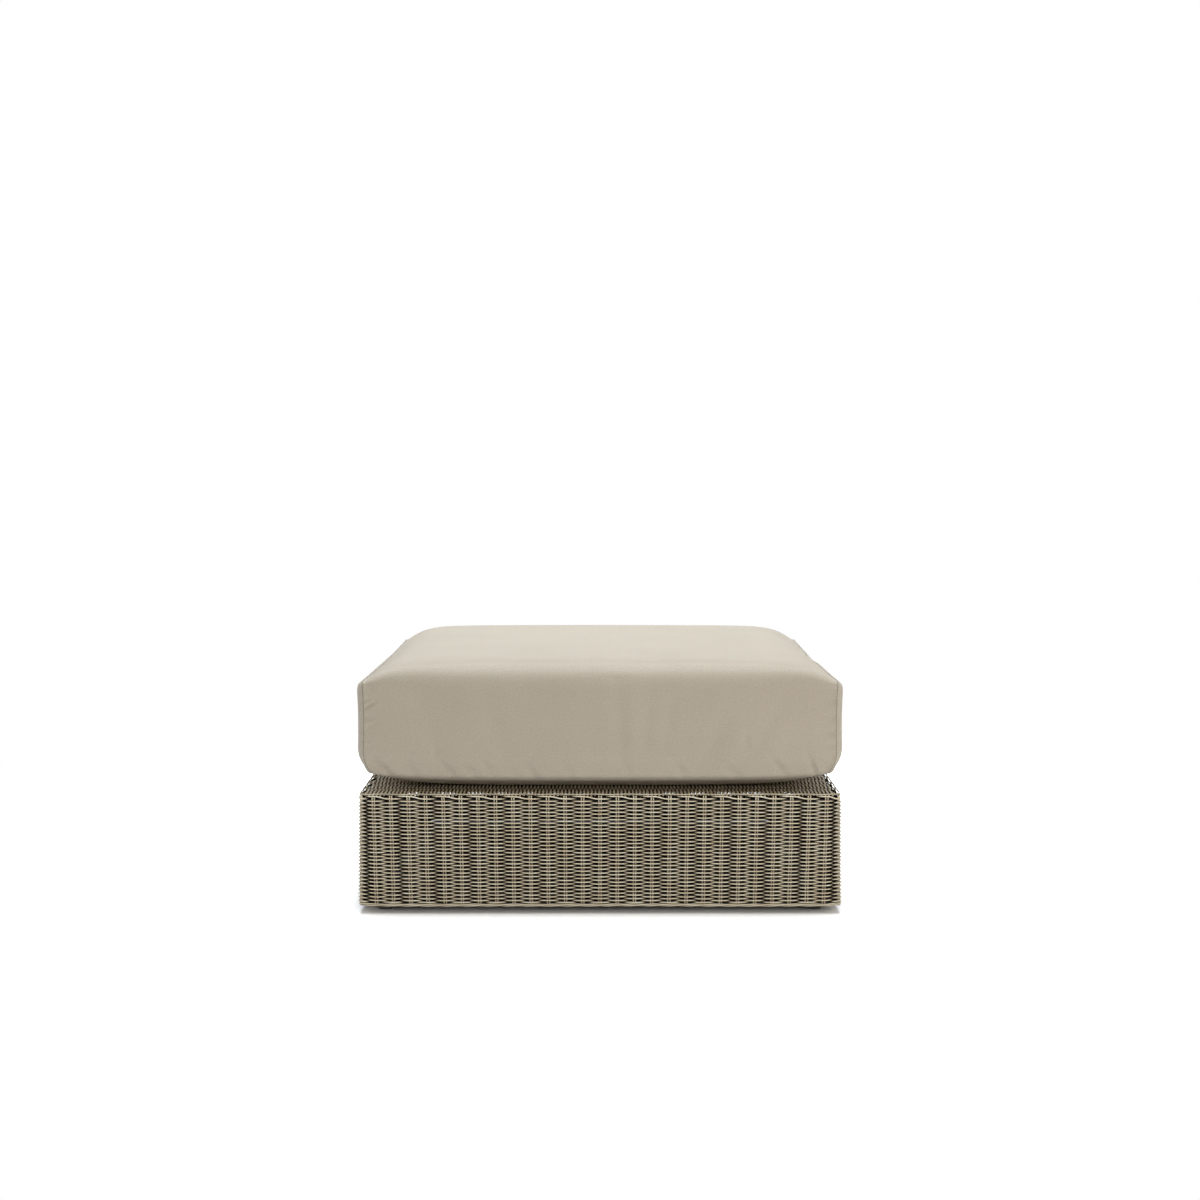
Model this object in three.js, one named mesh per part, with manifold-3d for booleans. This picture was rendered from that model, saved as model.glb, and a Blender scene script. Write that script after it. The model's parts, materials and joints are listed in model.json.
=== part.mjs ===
// Outdoor ottoman: a base of woven resin strand on a welded square-tube frame, with a loose box cushion
// whose cover closes with a zip along the back. Millimetres, +Z up. The origin is on the floor under the
// middle of the base, and the front faces -Y.
import * as THREE from 'three';
import { mergeVertices } from 'three/addons/utils/BufferGeometryUtils.js';
import Module from 'manifold-3d';

const wasm = await Module();
wasm.setup();

// Clearances
const seatGap = 0.3; // between rigid pieces that are welded, stapled or seated together
const softGap = 0.4; // between the cushion's layers
const cutOverrun = 2; // how far a cutting block runs past what it cuts

// Base, over the weave
const baseSide = 889; // 35 in, side to side and front to back
const deckHeight = 218; // floor to the woven deck that carries the cushion
const skirtLift = 12; // floor to the lowest strand of the skirt
const cornerRadius = 12; // outside of the weave as it turns a corner

// Strands
const strandDiameter = 3.2; // round strand of the skirts and deck
const stakeDiameter = 2.7; // thin strand of the stake pairs that the rows go over and under
const rowPitch = 3.43; // one row of the skirt to the next
const strandsPerRow = 2; // rows of the real weave in each row of the model
const stakeSetIn = 28; // from a corner of the base to the middle of the first stake pair
const stakeSpaces = 26; // spaces between stake pairs along one side
const deckStakeSpaces = 18; // spaces between cross stakes of the deck, front to back
const topBorderHeight = 8; // the wale and edge strands along the top of a skirt
const bottomBorderHeight = 6.3; // the twisted strands along the bottom
const turnPlaces = 2; // at each end of a skirt its rows turn the corner, half way between high and low
const borderCorners = 4; // a border's section has four, and turns as it goes
const turnsPerStakeShare = 1 / 8; // of a whole turn, from one stake pair to the next

// Frame of square tube
const tubeSide = 25.4; // legs and rails, 1 in
const tubeWall = 1.5;
const tubeEdge = 2; // the flat that stands for the rounding of a tube's long edges
const barSide = 19; // uprights and deck bars, 3/4 in
const barWall = 1.2;
const barEdge = 1.5;
const bottomRailLift = 14; // floor to the underside of the bottom rails
const deckBars = 4;
const uprightsPerSide = 2;

// Feet
const glideHeight = 5; // what stands under the leg
const glideInset = 0.5; // the glide's foot is this much smaller than the tube, all round
const glideBevel = 1.2;
const plugLength = 14; // what goes up into the leg
const plugTaper = 1; // lead-in at the plug's top
const wrapWall = 2.5; // strand wound round the foot
const wrapLift = 4.6; // floor to the lowest strand of the wrapping
const wrapGroove = 0.8; // between the strands of the wrapping
const strandsPerFace = 3;

// Cushion, outside of the cover
const cushionThickness = 245; // deck to crown
const cushionSettle = 3; // the underside is pressed flat by this much
const seamWidth = 878; // from one side seam to the other
const seamDepth = 862; // front to back at the seams
const frontBulge = 13; // the middle of the front, past its corners
const backBulge = 3;
const sideBulge = 13; // the middle of a side panel, past its seam
const seamDrop = 38; // the crown stands this much above the top of the seams, and the underside below them
const middlePower = 8; // how square the section is half way along; higher is squarer
const seamPower = 20; // and at the seams
const crownPower = 9; // how flat the crown runs before it falls to the seams
const bulgePower = 3;
const domePower = 4;
const coverThickness = 1.2;
const fibreThickness = 15;
const coverStationShares = [0, 0.3, 0.6, 0.78, 0.9, 0.97, 1]; // of half the seam width
const foamStationShares = [0, 0.6, 0.9, 1]; // the same for the foam and the inside of the fibre round it
const acrossShares = [0, 0.4, 0.7, 0.86, 0.95, 1]; // of half the depth, along the top and underside
const upShares = [0, 0.5, 0.85, 1]; // of half the thickness, up the front and back
const domeShares = [1, 0.85, 0.5]; // of a side panel's outline

// Zip in the back of the cover
const zipSetIn = 89; // from each side seam to the end of the opening in the cover
const zipOpening = 28;
const tapeThickness = 0.6;
const chainWidth = 5.8;
const chainThickness = 1.8;
const chainBevel = 0.5;
const stopLength = 3;
const stopMargin = 1.7; // from the end of the tape to the stop
const stopProud = 0.5; // the stop is this much wider and thicker than the chain
const sliderLength = 11;
const sliderWall = 1.2;
const sliderClearance = 0.4; // slider to chain and tape
const pinDiameter = 1.4; // the pull turns on it
const pinClearance = 0.3;
const eyeWall = 0.7;
const eyeWidth = 4;
const lugThickness = 1;
const lugWidth = 3;
const pullLength = 28;
const pullWidth = 6.5;
const pullThickness = 1.4;
const pullRound = 2;
const roundSegments = 4; // straight steps in each quarter of a small round

// What follows from them
const halfBase = baseSide / 2;
const skinThickness = 2 * strandDiameter + stakeDiameter;
const skinBack = halfBase - skinThickness; // inner side of the skirts, from the middle
const railOuter = skinBack - seatGap;
const railInner = railOuter - tubeSide;
const legCentre = railInner - seatGap - tubeSide / 2;
const mitreGap = seatGap / Math.SQRT2; // seen along a side, for the gap square to the mitre
const stakeRun = halfBase - stakeSetIn; // from the middle of a side to its last stake pair
const stakeStep = (2 * stakeRun) / stakeSpaces;
const deckUnderside = deckHeight - skinThickness;
const frameTop = deckUnderside - seatGap;
const skinBottom = skirtLift + bottomBorderHeight + seatGap;
const skinTop = deckHeight - topBorderHeight - seatGap;
const restHeight = deckHeight + seatGap;
const halfThickness = (cushionThickness + cushionSettle) / 2;
const cushionMiddle = restHeight + cushionThickness - halfThickness;
const seamHalf = seamWidth / 2;
const zipHalf = seamHalf - zipSetIn;
const tapeFront = seamDepth / 2 + backBulge - coverThickness - softGap + seatGap;
const tapeBack = tapeFront + tapeThickness;
const chainFront = tapeBack + seatGap;
const chainBack = chainFront + chainThickness;
const stopEnd = zipHalf - seatGap - stopMargin;
const chainEnd = stopEnd - stopLength - seatGap;
const sliderRest = chainEnd - sliderClearance - sliderLength / 2;
const plateFront = chainBack + sliderClearance;
const plateBack = plateFront + sliderWall;
const eyeBore = pinDiameter / 2 + pinClearance;
const eyeOuter = eyeBore + eyeWall;
const pinBack = plateBack + pinClearance + eyeOuter; // how far back the middle of the pin is

const colours = {
  strand: { color: 0x82755f, roughness: 0.55, metalness: 0 },
  darkStrand: { color: 0x6c6150, roughness: 0.6, metalness: 0 },
  frame: { color: 0x4a4137, roughness: 0.45, metalness: 0.3 },
  glide: { color: 0x1b1a19, roughness: 0.5, metalness: 0 },
  canvas: { color: 0xcdc4b2, roughness: 0.95, metalness: 0 },
  fibre: { color: 0xf1f0ec, roughness: 1, metalness: 0 },
  foam: { color: 0xd9cfb4, roughness: 1, metalness: 0 },
  tape: { color: 0xbdb29d, roughness: 0.95, metalness: 0 },
  coil: { color: 0xa89c86, roughness: 0.5, metalness: 0 },
  nickel: { color: 0xa6a39c, roughness: 0.3, metalness: 1 },
};

const ottoman = new THREE.Group();

function piece(name, geometry, finish, turn = 0) {
  const mesh = new THREE.Mesh(geometry, new THREE.MeshStandardMaterial(colours[finish]));
  mesh.name = name;
  mesh.rotation.z = turn;
  ottoman.add(mesh);
}

// The four sides, each as the front one turned about the middle, and the four corners
const sideNames = ['front', 'right', 'back', 'left'];
const sides = sideNames.map((name, quarter) => ({ name, turn: quarter * (Math.PI / 2) }));
const corners = [
  { name: 'front_left', x: -1, y: -1 },
  { name: 'front_right', x: 1, y: -1 },
  { name: 'back_right', x: 1, y: 1 },
  { name: 'back_left', x: -1, y: 1 },
];

// Mesh helpers

function solidFrom(points, faces) {
  const geometry = new THREE.BufferGeometry();
  geometry.setAttribute('position', new THREE.Float32BufferAttribute(points.flat(), 3));
  geometry.setIndex(faces.flat());
  geometry.computeVertexNormals();
  return geometry;
}

// Joins a chain of rings, each counter-clockwise seen from where the chain goes. A chain that closes on
// itself makes a band; otherwise each end is a single point, and closes over the ring next to it. Cells are
// split the same way whichever way the chain runs, so that layers made alike stay an even gap apart.
function loft(chain, closes = false) {
  const points = [];
  const faces = [];
  const add = (p) => points.push(p) - 1;
  const rings = chain.map((item) => (Array.isArray(item[0]) ? item.map(add) : add(item)));
  const join = (a, b) => {
    const ring = Array.isArray(a) ? a : b;
    const isForward = Array.isArray(a) && Array.isArray(b) && points[a[0]][0] <= points[b[0]][0];
    ring.forEach((here, k) => {
      const next = (k + 1) % ring.length;
      if (!Array.isArray(b)) faces.push([here, ring[next], b]);
      else if (!Array.isArray(a)) faces.push([ring[next], here, a]);
      else if (isForward) faces.push([a[k], a[next], b[next]], [a[k], b[next], b[k]]);
      else faces.push([a[k], a[next], b[k]], [a[next], b[next], b[k]]);
    });
  };
  rings.slice(1).forEach((ring, n) => join(rings[n], ring));
  if (closes) join(rings.at(-1), rings[0]);
  return solidFrom(points, faces);
}

function extrude(shape, length) {
  const settings = { depth: length, bevelEnabled: false, curveSegments: roundSegments };
  return new THREE.ExtrudeGeometry(shape, settings);
}

function block(low, high) {
  const size = high.map((v, k) => v - low[k]);
  const box = new THREE.BoxGeometry(...size);
  return box.translate(...low.map((v, k) => v + size[k] / 2));
}

function toManifold(geometry) {
  const bare = geometry.clone();
  bare.deleteAttribute('normal');
  bare.deleteAttribute('uv');
  const merged = mergeVertices(bare);
  return new wasm.Manifold(new wasm.Mesh({
    numProp: 3,
    vertProperties: merged.attributes.position.array,
    triVerts: Uint32Array.from(merged.index.array),
  }));
}

function fromManifold(solid) {
  const mesh = solid.getMesh();
  const geometry = new THREE.BufferGeometry();
  geometry.setAttribute('position', new THREE.BufferAttribute(mesh.vertProperties, 3));
  geometry.setIndex(new THREE.BufferAttribute(mesh.triVerts, 1));
  geometry.computeVertexNormals();
  return geometry;
}

const joined = (parts) => fromManifold(parts.map(toManifold).reduce((whole, part) => whole.add(part)));
const cut = (stock, cutter) => fromManifold(toManifold(stock).subtract(toManifold(cutter)));

// Square tube

const quarterTurns = [
  ([x, y]) => [x, y],
  ([x, y]) => [-y, x],
  ([x, y]) => [-x, -y],
  ([x, y]) => [y, -x],
];

function squareOutline(half, edge) {
  const corner = [[half, half - edge], [half - edge, half]];
  return quarterTurns.flatMap((turned) => corner.map(turned));
}

function shapeFrom(outline) {
  return new THREE.Shape(outline.map(([x, y]) => new THREE.Vector2(x, y)));
}

function tube(side, wall, edge, length) {
  const section = shapeFrom(squareOutline(side / 2, edge));
  const bore = side / 2 - wall;
  section.holes.push(shapeFrom([[bore, bore], [bore, -bore], [-bore, -bore], [-bore, bore]]));
  return extrude(section, length);
}

function tubeAcross(side, wall, edge, length) {
  return tube(side, wall, edge, length).translate(0, 0, -length / 2).rotateY(Math.PI / 2);
}

// A rail of the front side, whose ends are cut on the corner's diagonal
function rail(underside) {
  const geometry = tubeAcross(tubeSide, tubeWall, tubeEdge, 2 * railOuter);
  geometry.translate(0, -(railOuter - tubeSide / 2), underside + tubeSide / 2);
  const at = geometry.attributes.position;
  for (let k = 0; k < at.count; k += 1) {
    at.setX(k, Math.sign(at.getX(k)) * (Math.abs(at.getY(k)) - mitreGap));
  }
  return geometry;
}

function buildFrame() {
  const topRailUnderside = frameTop - tubeSide;
  const bottomRailTop = bottomRailLift + tubeSide;
  const legBottom = glideHeight + seatGap;
  for (const { name, x, y } of corners) {
    const leg = tube(tubeSide, tubeWall, tubeEdge, frameTop - legBottom);
    piece(`leg_${name}`, leg.translate(x * legCentre, y * legCentre, legBottom), 'frame');
  }
  const uprightLength = topRailUnderside - bottomRailTop - 2 * seatGap;
  const uprightStep = (2 * railInner) / (uprightsPerSide + 1);
  for (const { name, turn } of sides) {
    piece(`top_rail_${name}`, rail(topRailUnderside), 'frame', turn);
    piece(`bottom_rail_${name}`, rail(bottomRailLift), 'frame', turn);
    for (let k = 1; k <= uprightsPerSide; k += 1) {
      const upright = tube(barSide, barWall, barEdge, uprightLength);
      upright.translate(k * uprightStep - railInner, -(railOuter - barSide / 2), bottomRailTop + seatGap);
      piece(`upright_${name}_${k}`, upright, 'frame', turn);
    }
  }
  const barStep = (2 * railInner) / (deckBars + 1);
  for (let k = 1; k <= deckBars; k += 1) {
    const bar = tubeAcross(barSide, barWall, barEdge, 2 * (railInner - seatGap));
    piece(`deck_bar_${k}`, bar.translate(0, k * barStep - railInner, frameTop - barSide / 2), 'frame');
  }
}

// Feet: a plastic glide pushed up into each leg, and strand wound round the foot

function glide() {
  const foot = tubeSide / 2 - glideInset;
  const plug = tubeSide / 2 - tubeWall - seatGap;
  const plugTop = glideHeight + plugLength;
  const levels = [
    [0, foot - glideBevel],
    [glideBevel, foot],
    [glideHeight, foot],
    [glideHeight, plug],
    [plugTop - plugTaper, plug],
    [plugTop, plug - plugTaper],
  ];
  const ringAt = ([z, half]) => squareOutline(half, tubeEdge).map(([x, y]) => [x, y, z]);
  return loft([[0, 0, 0], ...levels.map(ringAt), [0, 0, plugTop]]);
}

function footWrap() {
  const inner = tubeSide / 2 + seatGap;
  const outer = inner + wrapWall;
  const step = outer / strandsPerFace;
  const face = [[outer - wrapGroove, wrapGroove - outer]];
  for (let k = 1; k < 2 * strandsPerFace; k += 1) {
    face.push([k % 2 ? outer : outer - wrapGroove, k * step - outer]);
  }
  const section = shapeFrom(quarterTurns.flatMap((turned) => face.map(turned)));
  section.holes.push(shapeFrom(squareOutline(inner, tubeEdge)));
  return extrude(section, bottomRailLift - seatGap - wrapLift);
}

function buildFeet() {
  for (const { name, x, y } of corners) {
    piece(`glide_${name}`, glide().translate(x * legCentre, y * legCentre, 0), 'glide');
    piece(`foot_wrap_${name}`, footWrap().translate(x * legCentre, y * legCentre, wrapLift), 'darkStrand');
  }
}

// Weave: a slab whose front is a grid of strand crossings, high where the rows pass over a stake and low
// where they pass behind it, and whose back is plain. Columns run to the right and rows upwards, seen from
// the front. Each cell is split between its low corners, so every crossing stands up as a bump.

function reliefSlab(front, back) {
  const points = [];
  const faces = [];
  const add = (p) => points.push(p) - 1;
  const quad = (a, b, c, d) => faces.push([a, b, c], [a, c, d]);
  const f = front.map((column) => column.map(add));
  const b = back.map((column) => column.map(add));
  const top = f[0].length - 1;
  const end = f.length - 1;
  for (let j = 0; j < end; j += 1) {
    for (let i = 0; i < top; i += 1) {
      const cell = [f[j][i], f[j + 1][i], f[j + 1][i + 1], f[j][i + 1]];
      if (isHigh(j, i)) cell.push(cell.shift());
      quad(...cell);
    }
    quad(b[j][0], b[j][1], b[j + 1][1], b[j + 1][0]);
    quad(f[j + 1][0], f[j][0], b[j][0], b[j + 1][0]);
    quad(f[j][top], f[j + 1][top], b[j + 1][1], b[j][1]);
  }
  for (let i = 0; i < top; i += 1) {
    faces.push([f[0][i], f[0][i + 1], b[0][0]], [f[end][i + 1], f[end][i], b[end][0]]);
  }
  faces.push([b[0][0], f[0][top], b[0][1]], [f[end][top], b[end][0], b[end][1]]);
  return solidFrom(points, faces);
}

function isHigh(column, row) {
  return (column + row) % 2 === 0;
}

// Places along the front side, left to right: the diagonal of one corner, the end of its round, each stake
// pair, and the same at the other corner. reach is the distance from the middle of the base on the straight.
function weavePlaces() {
  const run = halfBase - cornerRadius;
  const stake = (_, k) => (reach) => [k * stakeStep - stakeRun, -reach];
  const stakes = Array.from({ length: stakeSpaces + 1 }, stake);
  const roundEnd = (side) => (reach) => [side * run, -reach];
  const diagonal = (side) => (reach) => {
    const round = run + (cornerRadius - (halfBase - reach)) * Math.SQRT1_2;
    return [side * (round - mitreGap), -round];
  };
  return [diagonal(-1), roundEnd(-1), ...stakes, roundEnd(1), diagonal(1)];
}

function skirtPanel() {
  const places = weavePlaces();
  const high = halfBase;
  const low = halfBase - strandDiameter;
  const rows = Math.round((skinTop - skinBottom) / (rowPitch * strandsPerRow));
  const heightOf = (i) => skinBottom + ((skinTop - skinBottom) * i) / rows;
  const last = places.length - 1;
  const reachOf = (j, i) => {
    if (j < turnPlaces || j > last - turnPlaces) return (high + low) / 2;
    return isHigh(j, i) ? high : low;
  };
  const front = places.map((place, j) =>
    Array.from({ length: rows + 1 }, (_, i) => [...place(reachOf(j, i)), heightOf(i)]));
  const back = places.map((place, j) => {
    const x = j === 0 || j === last ? Math.sign(j - 1) * (skinBack - mitreGap) : place(skinBack)[0];
    return [[x, -skinBack, skinBottom], [x, -skinBack, skinTop]];
  });
  return reliefSlab(front, back);
}

// A border follows the stakes of its skirt as a bar that twists, and its ends are cut on the diagonals
function border(height, middle, sense) {
  const radius = height / 2;
  const reach = skinBack + radius;
  const ringAt = (x, column, slant) => {
    const ring = [];
    for (let k = 0; k < borderCorners; k += 1) {
      const angle = 2 * Math.PI * (k / borderCorners + sense * column * turnsPerStakeShare);
      const out = radius * Math.cos(angle) * (slant ? Math.SQRT1_2 : 1);
      ring.push([x + slant * out, -(reach + out), middle + radius * Math.sin(angle)]);
    }
    return ring.reverse();
  };
  const chain = [];
  for (let k = 0; k <= stakeSpaces; k += 1) chain.push(ringAt(k * stakeStep - stakeRun, k, 0));
  const end = reach - mitreGap;
  chain.unshift(ringAt(-end, -1, -1));
  chain.push(ringAt(end, stakeSpaces + 1, 1));
  return loft([[-end, -reach, middle], ...chain, [end, -reach, middle]]);
}

function deck() {
  const low = deckHeight - strandDiameter;
  const acrossOf = (j) => railOuter * ((2 * j) / stakeSpaces - 1);
  const alongOf = (i) => railOuter * ((2 * i) / deckStakeSpaces - 1);
  const columns = Array.from({ length: stakeSpaces + 1 }, (_, j) => j);
  const rows = Array.from({ length: deckStakeSpaces + 1 }, (_, i) => i);
  const crossing = (j, i) => [acrossOf(j), alongOf(i), isHigh(j, i) ? deckHeight : low];
  const front = columns.map((j) => rows.map((i) => crossing(j, i)));
  const back = columns.map((j) => [0, deckStakeSpaces].map((i) => [acrossOf(j), alongOf(i), deckUnderside]));
  return reliefSlab(front, back);
}

function buildWeave() {
  for (const { name, turn } of sides) {
    piece(`skirt_${name}`, skirtPanel(), 'strand', turn);
    const topMiddle = deckHeight - topBorderHeight / 2;
    const bottomMiddle = skirtLift + bottomBorderHeight / 2;
    piece(`top_border_${name}`, border(topBorderHeight, topMiddle, 1), 'strand', turn);
    piece(`bottom_border_${name}`, border(bottomBorderHeight, bottomMiddle, -1), 'darkStrand', turn);
  }
  piece('woven_deck', deck(), 'darkStrand');
}

// Cushion. Its section across the seams is a rounded rectangle that grows from each side seam to the middle,
// squarest at the seams, where the corners stand out and the sides between them are drawn in.

// Round the section once, counter-clockwise seen from +X, as shares of its half depth and half height
function sectionShares() {
  const both = (shares) => [...shares.slice(1).map((s) => -s).reverse(), ...shares];
  const up = both(upShares).slice(0, -1);
  const across = both(acrossShares).slice(0, -1);
  return [
    ...up.map((s) => [1, s]),
    ...across.map((s) => [-s, 1]),
    ...up.map((s) => [-1, -s]),
    ...across.map((s) => [s, -1]),
  ];
}

// One ring of the cushion, inset from the cover's outside, at a share of the way from the middle to a seam
function cushionRing(x, share, inset, scale = 1) {
  const power = middlePower + (seamPower - middlePower) * share ** domePower;
  const height = halfThickness - seamDrop * share ** crownPower - inset;
  const bulge = 1 - share ** bulgePower;
  const frontDepth = seamDepth / 2 + frontBulge * bulge - inset;
  const backDepth = seamDepth / 2 + backBulge * bulge - inset;
  return sectionShares().map(([across, up]) => {
    const size = scale / (Math.abs(across) ** power + Math.abs(up) ** power) ** (1 / power);
    const y = across * size * (across < 0 ? frontDepth : backDepth);
    const z = cushionMiddle + up * size * height;
    return [x, y, Math.max(z, restHeight + inset)];
  });
}

function cushionRings(inset, stationShares) {
  const shares = [...stationShares.slice(1).map((s) => -s).reverse(), ...stationShares];
  return shares.map((s) => cushionRing(s * seamHalf, Math.abs(s), inset));
}

const band = (outer, inner) => loft([...outer, ...inner.reverse()], true);

// The panel that goes over the top, front, underside and back, with the opening for the zip
function wrapPanel() {
  const shell = band(cushionRings(0, coverStationShares), cushionRings(coverThickness, coverStationShares));
  const back = seamDepth / 2 + backBulge;
  const low = [-zipHalf, back - cutOverrun - 2 * coverThickness - backBulge, cushionMiddle - zipOpening / 2];
  const high = [zipHalf, back + cutOverrun, cushionMiddle + zipOpening / 2];
  return cut(shell, block(low, high));
}

function domeRings(side, inset, seat, dome) {
  const ringAt = (k) => cushionRing(side * (seat + dome * (1 - k ** domePower)), 1, inset, k);
  const rings = domeShares.map(ringAt);
  const tip = [side * (seat + dome), 0, cushionMiddle];
  return { rings, tip };
}

function sidePanel(side) {
  const seat = seamHalf + seatGap;
  const inner = domeRings(side, 0, seat, sideBulge - coverThickness);
  const outer = domeRings(side, 0, seat + coverThickness, sideBulge - coverThickness);
  const chain = [inner.tip, ...inner.rings.reverse(), ...outer.rings, outer.tip];
  return loft(side > 0 ? chain : chain.reverse());
}

function fibreWrap() {
  const outside = coverThickness + softGap;
  const inside = outside + fibreThickness;
  return band(cushionRings(outside, coverStationShares), cushionRings(inside, foamStationShares));
}

function foamCore() {
  const outside = coverThickness + fibreThickness + 2 * softGap;
  const dome = sideBulge - coverThickness - softGap;
  const left = domeRings(-1, outside, seamHalf, dome);
  const right = domeRings(1, outside, seamHalf, dome);
  const leftRings = left.rings.slice(1).reverse();
  const middle = cushionRings(outside, foamStationShares);
  return loft([left.tip, ...leftRings, ...middle, ...right.rings.slice(1), right.tip]);
}

function buildCushion() {
  piece('cushion_wrap_panel', wrapPanel(), 'canvas');
  piece('cushion_side_panel_left', sidePanel(-1), 'canvas');
  piece('cushion_side_panel_right', sidePanel(1), 'canvas');
  piece('fibre_wrap', fibreWrap(), 'fibre');
  piece('foam_core', foamCore(), 'foam');
}

// Zip: two tapes that meet behind the chain, a stop at each end of it, and the slider with its pull

function zipTape(side) {
  const near = (side * seatGap) / 2;
  const far = side * (zipOpening / 2 - seatGap);
  const end = zipHalf - seatGap;
  const low = [-end, tapeFront, cushionMiddle + Math.min(near, far)];
  return block(low, [end, tapeBack, cushionMiddle + Math.max(near, far)]);
}

function zipChain() {
  const half = chainWidth / 2;
  const crest = half - chainBevel;
  const ringAt = (x) => [
    [x, chainFront, cushionMiddle - half],
    [x, chainBack - chainBevel, cushionMiddle - half],
    [x, chainBack, cushionMiddle - crest],
    [x, chainBack, cushionMiddle + crest],
    [x, chainBack - chainBevel, cushionMiddle + half],
    [x, chainFront, cushionMiddle + half],
  ];
  const middleAt = (x) => [x, (chainFront + chainBack) / 2, cushionMiddle];
  return loft([middleAt(-chainEnd), ringAt(-chainEnd), ringAt(chainEnd), middleAt(chainEnd)]);
}

function zipStop(side) {
  const ends = [side * stopEnd, side * (stopEnd - stopLength)].sort((a, b) => a - b);
  const half = chainWidth / 2 + stopProud;
  const low = [ends[0], chainFront, cushionMiddle - half];
  return block(low, [ends[1], chainBack + stopProud, cushionMiddle + half]);
}

// A plate over the chain with a flange down each edge, and two lugs that hold the pin
function zipSlider() {
  const inner = chainWidth / 2 + sliderClearance;
  const outer = inner + sliderWall;
  const left = sliderRest - sliderLength / 2;
  const right = sliderRest + sliderLength / 2;
  const flangeFront = tapeBack + sliderClearance;
  const plate = block([left, plateFront, cushionMiddle - outer], [right, plateBack, cushionMiddle + outer]);
  const parts = [plate];
  const lugInner = eyeWidth / 2 + pinClearance;
  for (const side of [-1, 1]) {
    const z = [side * inner, side * outer].sort((a, b) => a - b).map((v) => v + cushionMiddle);
    parts.push(block([left, flangeFront, z[0]], [right, plateBack, z[1]]));
    const lug = new THREE.Shape();
    lug.moveTo(lugWidth / 2, plateFront - pinBack);
    lug.lineTo(lugWidth / 2, 0);
    lug.absarc(0, 0, lugWidth / 2, 0, Math.PI, false);
    lug.lineTo(-lugWidth / 2, plateFront - pinBack);
    const start = side > 0 ? lugInner : -lugInner - lugThickness;
    parts.push(extrude(lug, lugThickness).translate(sliderRest, pinBack, cushionMiddle + start));
  }
  const pinHalf = lugInner + lugThickness / 2;
  const pin = new THREE.Shape().absarc(0, 0, pinDiameter / 2, 0, 2 * Math.PI, false);
  parts.push(extrude(pin, 2 * pinHalf).translate(sliderRest, pinBack, cushionMiddle - pinHalf));
  return joined(parts);
}

// The pull lies along the closed chain: an eye round the slider's pin, a neck and a paddle with round ends
function zipPull() {
  const ring = new THREE.Shape().absarc(0, 0, eyeOuter, 0, 2 * Math.PI, false);
  ring.holes.push(new THREE.Path().absarc(0, 0, eyeBore, 0, 2 * Math.PI, true));
  const eye = extrude(ring, eyeWidth).translate(sliderRest, pinBack, cushionMiddle - eyeWidth / 2);
  const neckStart = -(eyeBore + eyeOuter) / 2;
  const paddleStart = -sliderLength / 2;
  const paddleEnd = -pullLength;
  const wide = pullWidth / 2;
  const slim = eyeWidth / 2;
  const outline = new THREE.Shape();
  outline.moveTo(neckStart, -slim);
  outline.lineTo(neckStart, slim);
  outline.lineTo(paddleStart + pullRound, slim);
  outline.lineTo(paddleStart, wide);
  outline.lineTo(paddleEnd + pullRound, wide);
  outline.absarc(paddleEnd + pullRound, wide - pullRound, pullRound, Math.PI / 2, Math.PI, false);
  outline.absarc(paddleEnd + pullRound, pullRound - wide, pullRound, Math.PI, 1.5 * Math.PI, false);
  outline.lineTo(paddleStart, -wide);
  outline.lineTo(paddleStart + pullRound, -slim);
  const paddle = extrude(outline, pullThickness).translate(0, 0, -pullThickness / 2).rotateX(Math.PI / 2);
  return joined([eye, paddle.translate(sliderRest, pinBack, cushionMiddle)]);
}

function buildZip() {
  piece('zip_tape_upper', zipTape(1), 'tape');
  piece('zip_tape_lower', zipTape(-1), 'tape');
  piece('zip_chain', zipChain(), 'coil');
  piece('zip_stop_left', zipStop(-1), 'nickel');
  piece('zip_stop_right', zipStop(1), 'nickel');
  piece('zip_slider', zipSlider(), 'nickel');
  piece('zip_pull', zipPull(), 'nickel');
}

buildFrame();
buildFeet();
buildWeave();
buildCushion();
buildZip();

export default ottoman;
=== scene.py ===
# %% [markdown]
# # Outdoor ottoman
# A square base of woven resin strand on a tube frame, with a loose box cushion on top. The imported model
# gives the place and size of every piece, and this lesson dresses it: strands woven by Geometry Nodes, a
# cushion filled by cloth simulation, and finishes made of noise and attributes. Everything is in metres, the
# front faces -Y, and the origin is on the floor under the middle of the base.

import json
import math
from types import SimpleNamespace

import bpy
import numpy as np
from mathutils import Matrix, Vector
from mathutils.bvhtree import BVHTree


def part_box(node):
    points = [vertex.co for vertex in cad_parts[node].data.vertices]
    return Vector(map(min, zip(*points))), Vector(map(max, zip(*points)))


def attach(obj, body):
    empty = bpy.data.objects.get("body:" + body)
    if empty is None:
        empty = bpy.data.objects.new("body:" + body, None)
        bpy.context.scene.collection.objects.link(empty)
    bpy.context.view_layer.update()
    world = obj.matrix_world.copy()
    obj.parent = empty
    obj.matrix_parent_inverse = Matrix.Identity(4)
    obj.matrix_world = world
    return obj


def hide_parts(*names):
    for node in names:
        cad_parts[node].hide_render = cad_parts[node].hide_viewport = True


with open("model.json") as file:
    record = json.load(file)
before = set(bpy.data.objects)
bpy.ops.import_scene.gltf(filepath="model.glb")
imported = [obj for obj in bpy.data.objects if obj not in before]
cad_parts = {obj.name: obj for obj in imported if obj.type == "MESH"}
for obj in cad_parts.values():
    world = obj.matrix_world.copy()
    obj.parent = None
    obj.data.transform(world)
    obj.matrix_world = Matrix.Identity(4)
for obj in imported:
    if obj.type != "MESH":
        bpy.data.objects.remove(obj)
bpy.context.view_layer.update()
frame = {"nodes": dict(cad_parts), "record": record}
MM = 0.001
SIDES = ["front", "right", "back", "left"]
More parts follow.
